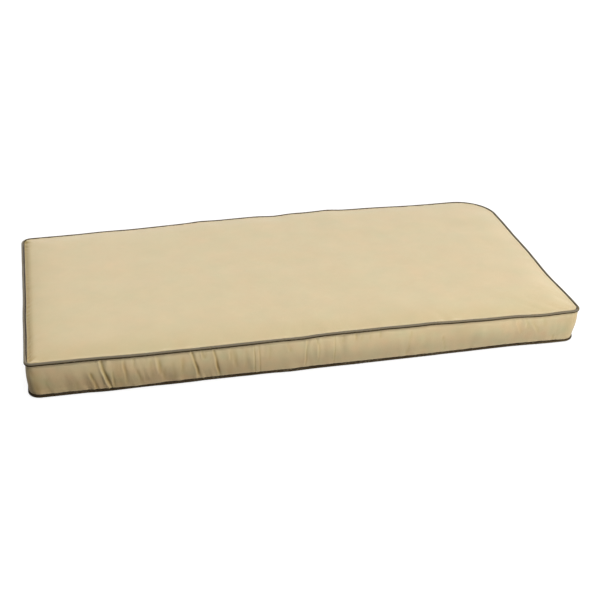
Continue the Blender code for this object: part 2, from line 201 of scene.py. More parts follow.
TOP_ROWS = (
    # distance in from the seam, halvings of the station count
    (0.0048, 0), (0.0065, 0), (0.0088, 0), (0.0115, 0), (0.0150, 0), (0.0200, 0), (0.0270, 0),
    (0.0360, 1), (0.0480, 1), (0.0640, 1), (0.0850, 2), (0.1100, 2), (0.1400, 2),
    (0.1700, 3), (DEEPEST_RING, 3),
)


# ---------------------------------------------------------------- formulas
def smooth_step(low, high, value):
    """0 below low, 1 above high, and 3 s^2 - 2 s^3 of the share s between them."""
    share = np.clip((value - low) / (high - low), 0.0, 1.0)
    return share * share * (3.0 - 2.0 * share)


def bell(offset, spread):
    """exp(-(offset / spread)^2)."""
    return np.exp(-(offset / spread) ** 2)


def bells(table, edges, from_middle):
    """Sum over a table of amount * exp(-((place - its place) / spread)^2), each on its own edge."""
    return sum(amount * bell(from_middle - place, spread) * (edges == EDGES.index(edge))
               for edge, place, spread, amount in table)


def on_run(name, run, edges, from_middle):
    """1 along one edge out to half a length from its middle, less an easing over which it falls to 0."""
    half_length, easing = run
    return (edges == EDGES.index(name)) * smooth_step(0.0, easing, half_length - np.abs(from_middle))


def between(first, last, share):
    """first + (last - first) * share."""
    return first + (last - first) * share


def sum_of_sines(angle, turns, phases):
    """Sum of sin(angle * turn + phase), about 1 high."""
    waves = sum(np.sin(angle * turn + phase) for turn, phase in zip(turns, phases))
    return waves / math.sqrt(len(turns) / 2.0)


GATHER_SINES = 24
PATCH_SINES = 6
PATCH_LENGTHS = (0.09, 0.27)
PATCH_HEIGHTS = (-1.2, 1.4)         # no gathers where the patches are below the first, all above the second


def gathers(along, seed, shortest, longest):
    """Sum of sines along the loop, each a whole number of waves round it, times a slow patchiness."""
    draw = np.random.default_rng(seed)
    angle = 2.0 * math.pi * along / LOOP.length
    turns = np.round(LOOP.length / draw.uniform(shortest, longest, GATHER_SINES))
    waves = sum_of_sines(angle, turns, draw.uniform(0.0, 2.0 * math.pi, GATHER_SINES))
    slow = np.round(LOOP.length / draw.uniform(*PATCH_LENGTHS, PATCH_SINES))
    patches = sum_of_sines(angle, slow, draw.uniform(0.0, 2.0 * math.pi, PATCH_SINES))
    return waves * smooth_step(*PATCH_HEIGHTS, patches)


def undulation(points, seed, shortest, longest, count=18):
    """Sum of sines of random direction and wavelength over x and y, about 1 high."""
    draw = np.random.default_rng(seed)
    heading = draw.uniform(0.0, 2.0 * math.pi, count)
    pace = 2.0 * math.pi / draw.uniform(shortest, longest, count)
    phase = draw.uniform(0.0, 2.0 * math.pi, count)
    total = np.zeros(len(points))
    for angle, speed, start in zip(heading, pace, phase):
        total += np.sin(speed * (points[:, 0] * math.cos(angle) + points[:, 1] * math.sin(angle)) + start)
    return total / math.sqrt(count / 2.0)


# ---------------------------------------------------------------- seams
class Outline:
    """A four-sided outline with rounded corners. Even sides are its edges, odd sides the arcs after them.

    On an edge a point is first + (last - first) * share; on an arc it is centre + radius * (cos a, sin a),
    with the angle a running evenly from one edge's outward normal to the next one's.
    """

    def __init__(self, corners, inset=0.0, inner_share=0.0):
        table = np.array(corners)
        points = table[:, :2]
        ahead = np.roll(points, -1, axis=0) - points
        ahead /= np.linalg.norm(ahead, axis=1)[:, None]
        self.normals = np.stack([ahead[:, 1], -ahead[:, 0]], axis=1)
        before = np.roll(self.normals, 1, axis=0)
        mitre = (before + self.normals) / (1.0 + (before * self.normals).sum(axis=1))[:, None]
        radii = table[:, 2] * (1.0 - inner_share) + INNER_CORNER_RADIUS * inner_share
        centres = points - mitre * (inset + radii)[:, None]
        self.arc_radii = np.roll(radii, -1)
        self.arc_centres = np.roll(centres, -1, axis=0)
        self.first = centres + self.normals * radii[:, None]
        self.last = self.arc_centres + self.normals * self.arc_radii[:, None]
        self.start_angles = np.arctan2(self.normals[:, 1], self.normals[:, 0])
        self.turns = (np.roll(self.start_angles, -1) - self.start_angles) % (2.0 * math.pi)
        self.edge_lengths = np.linalg.norm(self.last - self.first, axis=1)
        self.arc_lengths = self.arc_radii * self.turns

    def read(self, sides, shares):
        """Points and outward normals at stations, each a side and a share along it."""
        edge = sides // 2
        straight = between(self.first[edge], self.last[edge], shares[:, None])
        angle = self.start_angles[edge] + self.turns[edge] * shares
        arc_normal = np.stack([np.cos(angle), np.sin(angle)], axis=1)
        arc = self.arc_centres[edge] + arc_normal * self.arc_radii[edge, None]
        on_arc = (sides % 2 == 1)[:, None]
        return np.where(on_arc, arc, straight), np.where(on_arc, arc_normal, self.normals[edge])


class Loop(Outline):
    """An outline measured in metres round it. A run goes with its edge from mid corner to mid corner."""

    def __init__(self, corners):
        super().__init__(corners)
        self.before = np.roll(self.arc_lengths, 1) / 2.0
        runs = self.before + self.edge_lengths + self.arc_lengths / 2.0
        self.begun = np.concatenate([[0.0], np.cumsum(runs)])
        self.length = self.begun[-1]
        self.middles = self.begun[:4] + self.before + self.edge_lengths / 2.0

    def find(self, along):
        """The edge at metres along the loop, and the place on it in metres from its middle."""
        edge = np.clip(np.searchsorted(self.begun, along, side="right") - 1, 0, 3)
        return edge, along - self.middles[edge]

    def lay_stations(self, finer=1):
        """Stations from mid corner to mid corner, closer together near corners and the sharpest creases.

        The density along a run is 1 plus bell curves at these places, and the stations are at equal steps
        of its running sum. Returns sides, shares and metres along the loop.
        """
        stations = []
        for number, count in enumerate(np.array(STATIONS) * finer):
            before = self.before[number]
            edge_length = self.edge_lengths[number]
            after = self.arc_lengths[number] / 2.0
            length = before + edge_length + after
            fine = np.linspace(0.0, length, DENSITY_SAMPLES)
            by_corners = bell(fine, CORNER_DENSITY_REACH) + bell(length - fine, CORNER_DENSITY_REACH)
            density = 1.0 + CORNER_DENSITY * by_corners
            for edge, place, extra, spread in DENSE_PLACES:
                if EDGES.index(edge) == number:
                    density += extra * bell(fine - before - edge_length / 2.0 - place, spread)
            running = np.concatenate([[0.0], np.cumsum((density[1:] + density[:-1]) / 2.0)])
            at = np.interp(np.arange(count) / count * running[-1], running, fine)
            on_before = at < before
            on_after = at > before + edge_length
            side = np.where(on_before, (2 * number - 1) % 8, np.where(on_after, 2 * number + 1, 2 * number))
            share = np.where(on_before, 0.5 + at / (2.0 * before), (at - before) / edge_length)
            share = np.where(on_after, (at - before - edge_length) / (2.0 * after), share)
            stations.append((side, share, self.begun[number] + at))
        return [np.concatenate(values) for values in zip(*stations)]


LOOP = Loop(TOP_CORNERS)


class Seam:
    """One seam loop, read at stations: a point, an outward normal and where it is along its edge.

    The point is the outline's, moved outward and up by bell curves along the edges.
    """

    def __init__(self, name, corners, height, sides, shares):
        self.name = name
        self.corners = corners
        self.height = height
        self.sides = sides
        self.shares = shares
        outline = Outline(corners)
        length = outline.edge_lengths[sides // 2]
        flat, self.normals = outline.read(sides, shares)
        self.outward, self.lift = self.waves((shares - 0.5) * length)
        self.points = np.column_stack([flat + self.normals * self.outward[:, None], height + self.lift])
        on_edge = sides % 2 == 0
        self.along = np.where(on_edge, (shares - 0.5) * length, 0.0)
        self.from_corner = np.where(on_edge, np.minimum(shares, 1.0 - shares) * length, 0.0)
        self.edges = np.where(on_edge, sides // 2, -1)

    def waves(self, from_middle):
        """Each station's move outward and its lift, which die out towards the corners."""
        outward = np.zeros(len(self.sides))
        lift = np.zeros(len(self.sides))
        ends = smooth_step(0.0, WAVE_END_FADE, np.minimum(self.shares, 1.0 - self.shares))
        for table, at in ((SEAM_WAVES[self.name], self.shares), (SEAM_RIPPLES[self.name], from_middle)):
            for edge, place, spread, wave_outward, wave_lift in table:
                wave = np.where(self.sides == 2 * EDGES.index(edge), bell(at - place, spread) * ends, 0.0)
                outward += wave * wave_outward
                lift += wave * wave_lift
        return outward, lift

    def ring(self, inset, keep):
        """A contour of the panel at a distance in from the seam, read at every keep-th station."""
        contour = Outline(self.corners, inset, inset / DEEPEST_RING)
        flat, _ = contour.read(self.sides[::keep], self.shares[::keep])
        fade = math.exp(-inset / WAVE_FADE)
        moved = flat + self.normals[::keep] * (self.outward[::keep] * fade)[:, None]
        return moved, self.lift[::keep] * fade


# ---------------------------------------------------------------- rows of the cover
def groove_row(seam, flip, degrees):
    """A row of the cover round a piping: seam point + (radius + gap) (cos a outward, flip * sin a upward)."""
    reach = (PIPING_RADIUS + PIECE_GAP) / math.cos(math.radians(GROOVE_HALF_STEP))
    angle = np.radians(degrees) * np.ones(len(seam.points))
    row = seam.points.copy()
    row[:, :2] += seam.normals * (reach * np.cos(angle))[:, None]
    row[:, 2] += flip * reach * np.sin(angle)
    return row


def band_rows(top, bottom, top_edge_row, bottom_edge_row):
    """Rows of the band: straight between its two hems, plus bulge * sin(pi * share^lean).

    The bulge grows from the corner's to its edge's own with the distance d from the corner, as
    1 - e^(-(d / reach)^2), and so does its unevenness, the sum of two sines along the edge.
    """
    away = 1.0 - bell(top.from_corner, CORNER_BULGE_REACH)
    bulge = between(CORNER_BULGE, np.array(BAND_BULGES)[top.edges], away)
    slow, quick = UNEVEN_PACES
    rows = []
    for share in BAND_ROWS:
        row = between(bottom_edge_row, top_edge_row, share)
        along = between(bottom.along, top.along, share)
        wander = np.sin(along * slow + top.edges) + np.sin(along * quick + 2.0 * top.edges + share)
        out = (bulge + BAND_UNEVENNESS * wander * away) * math.sin(math.pi * share ** BULGE_LEAN)
        row[:, :2] += between(bottom.normals, top.normals, share) * out[:, None]
        rows.append(row)
    return rows


def top_row(top, inset, keep):
    """A ring of the top panel: roll * (1 - e^(-inset / reach)) plus the crown's own rise of the same form."""
    flat, lift = top.ring(inset, keep)
    roll = EDGE_ROLL * (1.0 - math.exp(-inset / EDGE_ROLL_REACH))
    crown = CROWN * (1.0 - math.exp(-inset / CROWN_REACH))
    dip = CORNER_DIP * bell(top.from_corner[::keep] + inset, CORNER_DIP_REACH)
    return np.column_stack([flat, top.height + lift + (roll + crown) * (1.0 - dip)])


def underside_row(bottom, inset, height, keep):
    """A ring of the bottom panel at its table height; it lies flat beyond its curl."""
    flat, _ = bottom.ring(inset, keep)
    return np.column_stack([flat, np.full(len(flat), height)])


# ---------------------------------------------------------------- skins
class Skin:
    """A closed skin gathered row by row, with two face-corner maps: place in the weave and in the section."""

    def __init__(self):
        self.points = []
        self.count = 0
        self.faces = []
        self.weave = []
        self.section = []

    def add_points(self, points):
        """Adds points and returns their numbers."""
        numbers = np.arange(self.count, self.count + len(points))
        self.points.append(points)
        self.count += len(points)
        return numbers

    def add_ring(self, points, weave, places, across, cloth=""):
        """Adds a closed ring of points. Its weave and its places along the seam end with the closing ones."""
        return {"numbers": self.add_points(points), "points": points, "weave": weave, "places": places,
                "across": across, "cloth": cloth}

    def add_faces(self, corners, weave, section):
        """Adds faces, one row of corner numbers each, with the maps' values at each corner."""
        self.faces.append(corners)
        self.weave.append(weave)
        self.section.append(section)

    def join(self, low, high):
        """Faces between two rings: quads, or three triangles to a pair where one has twice the points."""
        rings = (low, high)
        numbers = [np.append(ring["numbers"], ring["numbers"][0]) for ring in rings]
        sections = [np.column_stack([ring["places"], np.full(len(ring["places"]), ring["across"])])
                    for ring in rings]
        weaves = [ring["weave"] for ring in rings]
        at = np.arange(min(len(low["numbers"]), len(high["numbers"])))
        if len(low["numbers"]) == len(high["numbers"]):
            faces = [((0, at), (0, at + 1), (1, at + 1), (1, at))]
        elif len(low["numbers"]) == 2 * len(at):
            faces = [((0, 2 * at), (0, 2 * at + 1), (1, at)),
                     ((0, 2 * at + 1), (1, at + 1), (1, at)),
                     ((0, 2 * at + 1), (0, 2 * at + 2), (1, at + 1))]
        else:
            faces = [((0, at), (1, 2 * at + 1), (1, 2 * at)),
                     ((0, at), (0, at + 1), (1, 2 * at + 1)),
                     ((0, at + 1), (1, 2 * at + 2), (1, 2 * at + 1))]
        for picks in faces:
            self.add_faces(*(np.stack([values[ring][pick] for ring, pick in picks], axis=1)
                             for values in (numbers, weaves, sections)))

    def fill_core(self, ring, halvings, facing_up):
        """Closes the middle of a panel with a Coons patch of its last ring.

        With u and v running 0 to 1 along the length and the depth, a point is (1 - v) front(u) + v back(u)
        + (1 - u) left(v) + u right(v), less the bilinear mix of the four corners.
        """
        across, deep = (count // 2 ** halvings for count in STATIONS[:2])
        ends = np.cumsum([0, across, deep, across, deep])
        order = np.append(np.arange(ends[-1]), 0)
        picks = [order[begin:end + 1] for begin, end in zip(ends, ends[1:])]
        picks[2:] = [pick[::-1] for pick in picks[2:]]
        front, right, back, left = (ring["points"][pick] for pick in picks)
        u = (np.arange(across + 1) / across)[:, None, None]
        v = (np.arange(deep + 1) / deep)[None, :, None]
        patch = (1 - v) * front[:, None] + v * back[:, None] + (1 - u) * left[None] + u * right[None]
        patch -= ((1 - u) * (1 - v) * front[0] + u * (1 - v) * front[-1]
                  + u * v * back[-1] + (1 - u) * v * back[0])
        grid = np.zeros((across + 1, deep + 1), int)
        inner = patch[1:-1, 1:-1]
        grid[1:-1, 1:-1] = self.add_points(inner.reshape(-1, 3)).reshape(inner.shape[:2])
        grid[:, 0], grid[-1, :], grid[:, -1], grid[0, :] = (ring["numbers"][pick] for pick in picks)
        turn = 1 if facing_up else -1
        corners, places = ([values[:-1, :-1], values[1:, :-1], values[1:, 1:], values[:-1, 1:]][::turn]
                           for values in (grid, patch))
        faces = np.stack([corner.ravel() for corner in corners], axis=1)
        weave = np.stack([place.reshape(-1, 3)[:, :2] for place in places], axis=1)
        section = np.zeros(weave.shape)
        section[:, :, 1] = ring["across"]
        self.add_faces(faces, weave, section)

    def make_piece(self, name):
        """A smooth-shaded object with the skin's points, faces and its two maps, Weave and Section."""
        mesh = bpy.data.meshes.new(name)
        faces = [face for block in self.faces for face in block.tolist()]
        mesh.from_pydata(np.vstack(self.points).tolist(), [], faces)
        for map_name, blocks in (("Weave", self.weave), ("Section", self.section)):
            values = np.vstack([block.reshape(-1, 2) for block in blocks])
            layer = mesh.uv_layers.new(name=map_name, do_init=False)
            layer.uv.foreach_set("vector", values.astype(np.float32).ravel())
        mesh.shade_smooth()
        mesh.update()
        piece = bpy.data.objects.new(name, mesh)
        bpy.context.scene.collection.objects.link(piece)
        return piece


def build_cover(top, bottom, places):
    """The cover as one closed skin.

    Across counts metres along the section: below 0 in the underside, from 0 to the band's height on the
    band, and beyond it in the top panel. The weave of a panel lies along X and Y and that of the band along
    the seam and upright.
    """
    skin = Skin()
    rings = []
    all_places = np.append(places, LOOP.length)

    def add(cloth, points, across, keep=1):
        """Adds a ring, its cloth laid flat in a panel and along the seam on the band."""
        closed = np.vstack([points, points[:1]])
        weave = np.column_stack([all_places, closed[:, 2]]) if cloth == "band" else closed[:, :2]
        rings.append(skin.add_ring(points, weave, all_places[::keep], across, cloth))

    for inset, height, halvings in UNDERSIDE_ROWS[::-1]:
        add("underside", underside_row(bottom, inset, height, 2 ** halvings), -inset, 2 ** halvings)
    skin.fill_core(rings[0], UNDERSIDE_ROWS[-1][2], False)
    edge, from_middle = LOOP.find(places)
    scallops = bells(HEM_SCALLOPS, edge, from_middle)
    hem_angles = [angle + scallops * number / len(HEM_ANGLES) for number, angle in enumerate(HEM_ANGLES, 1)]
    bottom_groove = [groove_row(bottom, -1.0, angle) for angle in (*GROOVE_ANGLES[::-1], *hem_angles)]
    on_left = on_run("left", LEFT_WRAP_RUN, edge, from_middle)
    on_front = on_run("front", FRONT_WRAP_RUN, edge, from_middle)
    inner = between(GROOVE_ANGLES[-1], LEFT_INNER_ANGLE, on_left)
    wrap = WRAP_ANGLE + (LEFT_WRAP_ANGLE - WRAP_ANGLE) * on_left + (FRONT_WRAP_ANGLE - WRAP_ANGLE) * on_front
    wrap += bells(WRAP_SCALLOPS, edge, from_middle) * on_front
    top_angles = (*GROOVE_ANGLES[:-1], inner, (inner + wrap) / 2.0, wrap)
    top_groove = [groove_row(top, 1.0, angle) for angle in top_angles]
    middle = len(GROOVE_ANGLES) // 2
    folds = [HEM_STEP * max(number + 1 - len(GROOVE_ANGLES), 0) for number in range(len(top_groove))]
    for number, points in enumerate(bottom_groove):
        add("band" if number >= middle else "underside", points, folds[number])
    for share, points in zip(BAND_ROWS, band_rows(top, bottom, top_groove[0], bottom_groove[-1])):
        add("band", points, share * BAND_HEIGHT)
    for number, points in enumerate(top_groove):
        add("band" if number < middle else "top", points, BAND_HEIGHT + folds[number])
    for inset, halvings in TOP_ROWS:
        add("top", top_row(top, inset, 2 ** halvings), BAND_HEIGHT + inset, 2 ** halvings)
    for low, high in zip(rings, rings[1:]):
        if low["cloth"] != high["cloth"]:
            low = dict(low, weave=high["weave"])
        skin.join(low, high)
    skin.fill_core(rings[-1], TOP_ROWS[-1][1], True)
    return skin.make_piece("cushion_cover")


# ---------------------------------------------------------------- reading and writing a mesh
def read_section(mesh):
    """Each point's place along the seam and across the section, read off the Section map."""
    corners = np.empty(len(mesh.loops), np.int32)
    mesh.loops.foreach_get("vertex_index", corners)
    values = np.empty(2 * len(mesh.loops), np.float32)
    mesh.uv_layers["Section"].uv.foreach_get("vector", values)
    section = np.zeros((len(mesh.vertices), 2))
    section[corners] = values.reshape(-1, 2)
    return section[:, 0], section[:, 1]


def read_vectors(rows, field):
    """Three numbers for each of a mesh's rows, such as its points' places or normals."""
    values = np.empty(3 * len(rows), np.float32)
    rows.foreach_get(field, values)
    return values.reshape(-1, 3).astype(float)


def write_points(mesh, points):
    mesh.vertices.foreach_set("co", points.astype(np.float32).ravel())
    mesh.update()


def write_mask(mesh, name, values):
    """A number for each point, kept as a named attribute for the finish to read."""
    attribute = mesh.attributes.new(name, "FLOAT", "POINT")
    attribute.data.foreach_set("value", values.astype(np.float32))


WEIGHT_STEPS = 50.0


def weight_group(piece, name, weights):
    """A vertex group with one weight for each point, in steps of a fiftieth."""
    group = piece.vertex_groups.new(name=name)
    steps = np.round(weights * WEIGHT_STEPS).astype(int)
    for step in np.unique(steps[steps > 0]):
        group.add(np.flatnonzero(steps == step).tolist(), step / WEIGHT_STEPS, "REPLACE")


# ---------------------------------------------------------------- the cloth, settled on its filling
PRESSURE = 4.0
SLACK = 0.035                       # how much longer the cloth is than the filling, at its slackest
SETTLE_FRAMES = 20
CLOTH_SETTINGS = {
    "quality": 6, "mass": 0.25, "tension_stiffness": 12.0, "compression_stiffness": 12.0,
    "shear_stiffness": 6.0, "bending_stiffness": 0.25, "use_pressure": True,
    "uniform_pressure_force": PRESSURE, "vertex_group_mass": "held", "vertex_group_shrink": "slack",
    "shrink_min": 0.0, "shrink_max": -SLACK,
}
TRACE_HEIGHT = 0.0004
TRACE_WAVES = (5, 0.018, 0.045)     # seed, shortest and longest wave
HELD_BESIDE_SEAM = 0.0015
BAND_FREE_AT = 0.012
PANEL_FREE_AT = 0.010
UNDERSIDE_HELD_TO = 0.05
BAND_CAP = 0.0040
PANEL_CAP = 0.0016


def band_arch(across):
    """4 a (h - a) / h^2 for the height a on a band h high: 0 at both seams and 1 half way up."""
    return np.clip(across * (BAND_HEIGHT - across), 0.0, None) * 4.0 / BAND_HEIGHT ** 2


def settle(piece):
    """Blows the cover up a little on its filling, held at its seams and its underside.

    It starts with a trace of gathers, which the slack in the cloth makes into folds. A point's move m from
    where it lay is then drawn in to cap * tanh(|m| / cap).
    """
    mesh = piece.data
    rest = read_vectors(mesh.vertices, "co")
    along, across = read_section(mesh)
    trace = TRACE_HEIGHT * gathers(along, *TRACE_WAVES) * band_arch(across)
    rest += read_vectors(mesh.vertex_normals, "vector") * trace[:, None]
    write_points(mesh, rest)
    on_band = smooth_step(HELD_BESIDE_SEAM, BAND_FREE_AT, np.minimum(across, BAND_HEIGHT - across))
    on_top = smooth_step(HELD_BESIDE_SEAM, PANEL_FREE_AT, across - BAND_HEIGHT)
    on_top = on_top * smooth_step(0.0, UNDERSIDE_HELD_TO, rest[:, 2])
    free = np.where(across < BAND_HEIGHT, on_band, on_top)
    weight_group(piece, "held", 1.0 - free)
    weight_group(piece, "slack", free)
    cloth = piece.modifiers.new("settle", "CLOTH")
    for name, value in CLOTH_SETTINGS.items():
        setattr(cloth.settings, name, value)
    cloth.settings.effector_weights.gravity = 0.0
    cloth.collision_settings.use_collision = False
    cloth.collision_settings.use_self_collision = False
    cloth.point_cache.frame_start = 1
    cloth.point_cache.frame_end = SETTLE_FRAMES
    for number in range(1, SETTLE_FRAMES + 1):
        bpy.context.scene.frame_set(number)
    evaluated = piece.evaluated_get(bpy.context.evaluated_depsgraph_get())
    blown = read_vectors(evaluated.data.vertices, "co")
    piece.modifiers.remove(cloth)
    bpy.context.scene.frame_set(1)
    move = blown - rest
    length = np.linalg.norm(move, axis=1)
    cap = np.where(across < BAND_HEIGHT, BAND_CAP, PANEL_CAP)
    keep = cap * np.tanh(length / cap) / np.maximum(length, 1e-9)
    write_points(mesh, rest + move * keep[:, None])
    piece.vertex_groups.clear()


def subdivide(piece):
    """Replaces the piece's mesh with its once subdivided one."""
    modifier = piece.modifiers.new("smooth", "SUBSURF")
    modifier.levels = 1
    modifier.render_levels = 1
    modifier.uv_smooth = "NONE"
    evaluated = piece.evaluated_get(bpy.context.evaluated_depsgraph_get())
    finer = bpy.data.meshes.new_from_object(evaluated)
    finer.name = piece.data.name
    piece.modifiers.remove(modifier)
    piece.data = finer


# ---------------------------------------------------------------- relief
# a ridge: height, its middle's distance from the seam, spread
BAND_ALLOWANCE = (0.00035, 0.0060, 0.0024)
PANEL_ALLOWANCE = (0.00040, 0.0055, 0.0022)
TUCK_RIDGE = (0.0012, 0.0055, 0.0020)
TUCKS = on_edges(front=((-0.4935, 0.0050, 1.0),))
BAND_FULL_AT = 0.003                # the gathers and the step ease in over this distance from a seam
PANEL_FULL_AT = 0.004
# gathers beside a seam: height, shortest and longest wave, where they are full, reach
BAND_FINE_GATHERS = (0.00030, 0.007, 0.020, BAND_FULL_AT, 0.009)
BAND_BROAD_GATHERS = (0.00040, 0.020, 0.045, BAND_FULL_AT, 0.020)
PANEL_FINE_GATHERS = (0.00030, 0.006, 0.016, PANEL_FULL_AT, 0.006)
PANEL_BROAD_GATHERS = (0.00030, 0.020, 0.050, PANEL_FULL_AT, 0.018)
BAND_GATHER_LEAN = 0.25
PANEL_GATHER_LEAN = 0.4
LOOSENESS_LIMITS = (0.2, 3.0)
STREAK_HEIGHT = 0.00013
STREAK_WAVES = (41, 0.009, 0.022)   # seed, shortest and longest wave
STREAK_LEAN = 0.12
CREASE_WANDER = ((0.3, 5.0, 1.7), (0.15, 13.0, 2.9))    # widths, pace up the band, step of the phase
CREASE_UNEVENNESS = (0.3, 9.0, 2.1)
CREASE_RIDGE_OFFSET = 1.6           # widths
DARK_CREASE_DEPTH = 0.0018          # a crease this deep is fully in shadow
HEM_SHARE = 0.03                    # creases and joins ease in over this share of the band's height
JOIN_HEIGHT = 0.0004
JOIN_ALLOWANCE_SHARE = 0.9          # of the join's half width
JOIN_GROOVE_SPREAD = 0.0011
JOIN_RAISED = (0.0002, JOIN_HALF_WIDTH + 0.0030, 0.0018)
JOIN_SHADE = 0.4
LEFT_STRIP_DROP = 0.0024
LEFT_STRIP_END = (0.0030, 0.0160)
LEFT_RIB_HEIGHT = 0.00050
LEFT_RIBS = ((1.0, 34, 0.009, 0.018), (0.7, 35, 0.008, 0.014))      # share, seed, shortest, longest wave
FILLING_HEIGHT = 0.00045
FILLING_WAVES = (33, 0.07, 0.22)    # seed, shortest and longest wave
FILLING_FULL_AT = 0.05


def ridge(kind, from_seam):
    """height * exp(-((distance - middle) / spread)^2)."""
    height, middle, spread = kind
    return height * bell(from_seam - middle, spread)


def fading_gathers(kind, along, from_seam, seed):
    """height * gathers * exp(-distance / reach), easing in from the seam."""
    height, shortest, longest, full_at, reach = kind
    fade = smooth_step(0.0, full_at, from_seam) * np.exp(-from_seam / reach)
    return height * gathers(along, seed, shortest, longest) * fade


class Reading:
    """Where each point of the cover lies: along the seam, across the section, on which edge and cloth."""

    def __init__(self, mesh):
        self.points = read_vectors(mesh.vertices, "co")
        self.along, self.across = read_section(mesh)
        self.edges, _ = LOOP.find(self.along)
        self.from_middle = (self.points[:, :2] * EDGE_HEADINGS[self.edges]).sum(axis=1)
        self.height_share = self.across / BAND_HEIGHT
        self.inset = np.maximum(self.across - BAND_HEIGHT, 0.0)
        self.band = (self.across > 0.0) & (self.across < BAND_HEIGHT)
        self.panel = (self.across > BAND_HEIGHT) & (self.points[:, 2] > BAND_HEIGHT / 2.0)

    def on(self, name):
        """True for the points on an edge."""
        return self.edges == EDGES.index(name)

    def bells(self, table):
        """A table's bell curves at the points."""
        return bells(table, self.edges, self.from_middle)


def fold_window(low, high, height_share):
    """1 between two height shares of the band, easing to 0 over the crease's fade."""
    half = CREASE_FADE / 2.0
    window = smooth_step(low - half, low + half, height_share)
    return window * (1.0 - smooth_step(high - half, high + half, height_share))


def crease_relief(at):
    """Sum over the creases of ridge * exp(-(s + 1.6)^2) - depth * exp(-|s|^1.5), and the valleys alone.

    S is the distance from the crease's line in widths. Each line and its depth wander a little with the
    height, so no two run alike.
    """
    relief = np.zeros(len(at.edges))
    valleys = np.zeros(len(at.edges))

    def wander(kind, number):
        amount, pace, step = kind
        return amount * np.sin(pace * at.height_share + step * number)

    for number, (edge, low, high, *millimetres) in enumerate(CREASES):
        above, below, depth, width, height = np.array(millimetres) / 1000.0
        centre = between(below, above, at.height_share)
        centre += width * sum(wander(kind, number) for kind in CREASE_WANDER)
        steps = (at.from_middle - centre) / width
        window = fold_window(low, high, at.height_share) * at.on(edge)
        window = window * (1.0 + wander(CREASE_UNEVENNESS, number))
        valley = np.exp(-np.abs(steps) ** 1.5) * window
        relief += height * bell(steps + CREASE_RIDGE_OFFSET, 1.0) * window - depth * valley
        valleys = np.maximum(valleys, valley * min(depth / DARK_CREASE_DEPTH, 1.0))
    return relief, valleys


def join_seams(at):
    """The raised allowance behind each join of the band, with a stitched groove down both of its sides.

    With d the distance from the join, the allowance is height * exp(-(d / its half width)^4), and the
    grooves and the cloth raised beside them are bell curves of d.
    """
    relief = np.zeros(len(at.edges))
    grooves = np.zeros(len(at.edges))
    for edge, place in JOIN_SEAMS:
        off = np.abs(at.from_middle - place)
        groove = bell(off - JOIN_HALF_WIDTH, JOIN_GROOVE_SPREAD) * at.on(edge)
        allowance = np.exp(-(off / (JOIN_HALF_WIDTH * JOIN_ALLOWANCE_SHARE)) ** 4) * at.on(edge)
        relief += JOIN_HEIGHT * (allowance - groove) + ridge(JOIN_RAISED, off) * at.on(edge)
        grooves = np.maximum(grooves, groove)
    return relief, grooves


def band_relief(at):
    """Ridges of the seam allowances beside both pipings, gathers that fade away from them, and the creases.

    Where the cloth is loose the gathers are higher and run further, as faint upright streaks. Returns the
    relief and the painted shade of its valleys and stitched grooves.
    """
    relief = np.zeros(len(at.along))
    loose = np.clip(1.0 + at.bells(LOOSENESS), *LOOSENESS_LIMITS)
    for from_seam, seed in ((BAND_HEIGHT - at.across, 11), (at.across, 12)):
        leaning = at.along + BAND_GATHER_LEAN * from_seam
        relief += ridge(BAND_ALLOWANCE, from_seam)
        relief += fading_gathers(BAND_FINE_GATHERS, leaning, from_seam, seed) * loose
        relief += fading_gathers(BAND_BROAD_GATHERS, leaning, from_seam, seed + 20)
    streaks = gathers(at.along + STREAK_LEAN * at.across, *STREAK_WAVES)
    relief += STREAK_HEIGHT * streaks * loose * band_arch(at.across)
    inside = smooth_step(0.0, HEM_SHARE, np.minimum(at.height_share, 1.0 - at.height_share))
    creases, valleys = crease_relief(at)
    joins, grooves = join_seams(at)
    return relief + (creases + joins) * inside, np.maximum(valleys, JOIN_SHADE * grooves) * inside


def panel_relief(at):
    """Gathers that fade within a centimetre of the top seam, the seam's allowance and the left edge's step.

    The step lowers the ribbed strip over the left seam's allowance and ends about a centimetre in.
    """
    fine = fading_gathers(PANEL_FINE_GATHERS, at.along + PANEL_GATHER_LEAN * at.inset, at.inset, 31)
    fine += fading_gathers(PANEL_BROAD_GATHERS, at.along, at.inset, 32)
    on_left = at.on("left") * smooth_step(0.0, PANEL_FULL_AT, at.inset)
    strip = on_left * (1.0 - smooth_step(*LEFT_STRIP_END, at.inset))
    ribs = sum(share * gathers(at.along, *waves) for share, *waves in LEFT_RIBS)
    fine += (LEFT_RIB_HEIGHT * ribs - LEFT_STRIP_DROP) * strip
    fine += ridge(PANEL_ALLOWANCE, at.inset) * (1.0 - on_left)
    return fine + ridge(TUCK_RIDGE, at.inset) * at.bells(TUCKS)


def filling_relief(at):
    """The filling's slow undulation under the top panel, easing in from the seam."""
    waves = undulation(at.points, *FILLING_WAVES)
    return FILLING_HEIGHT * waves * smooth_step(0.0, FILLING_FULL_AT, at.inset)
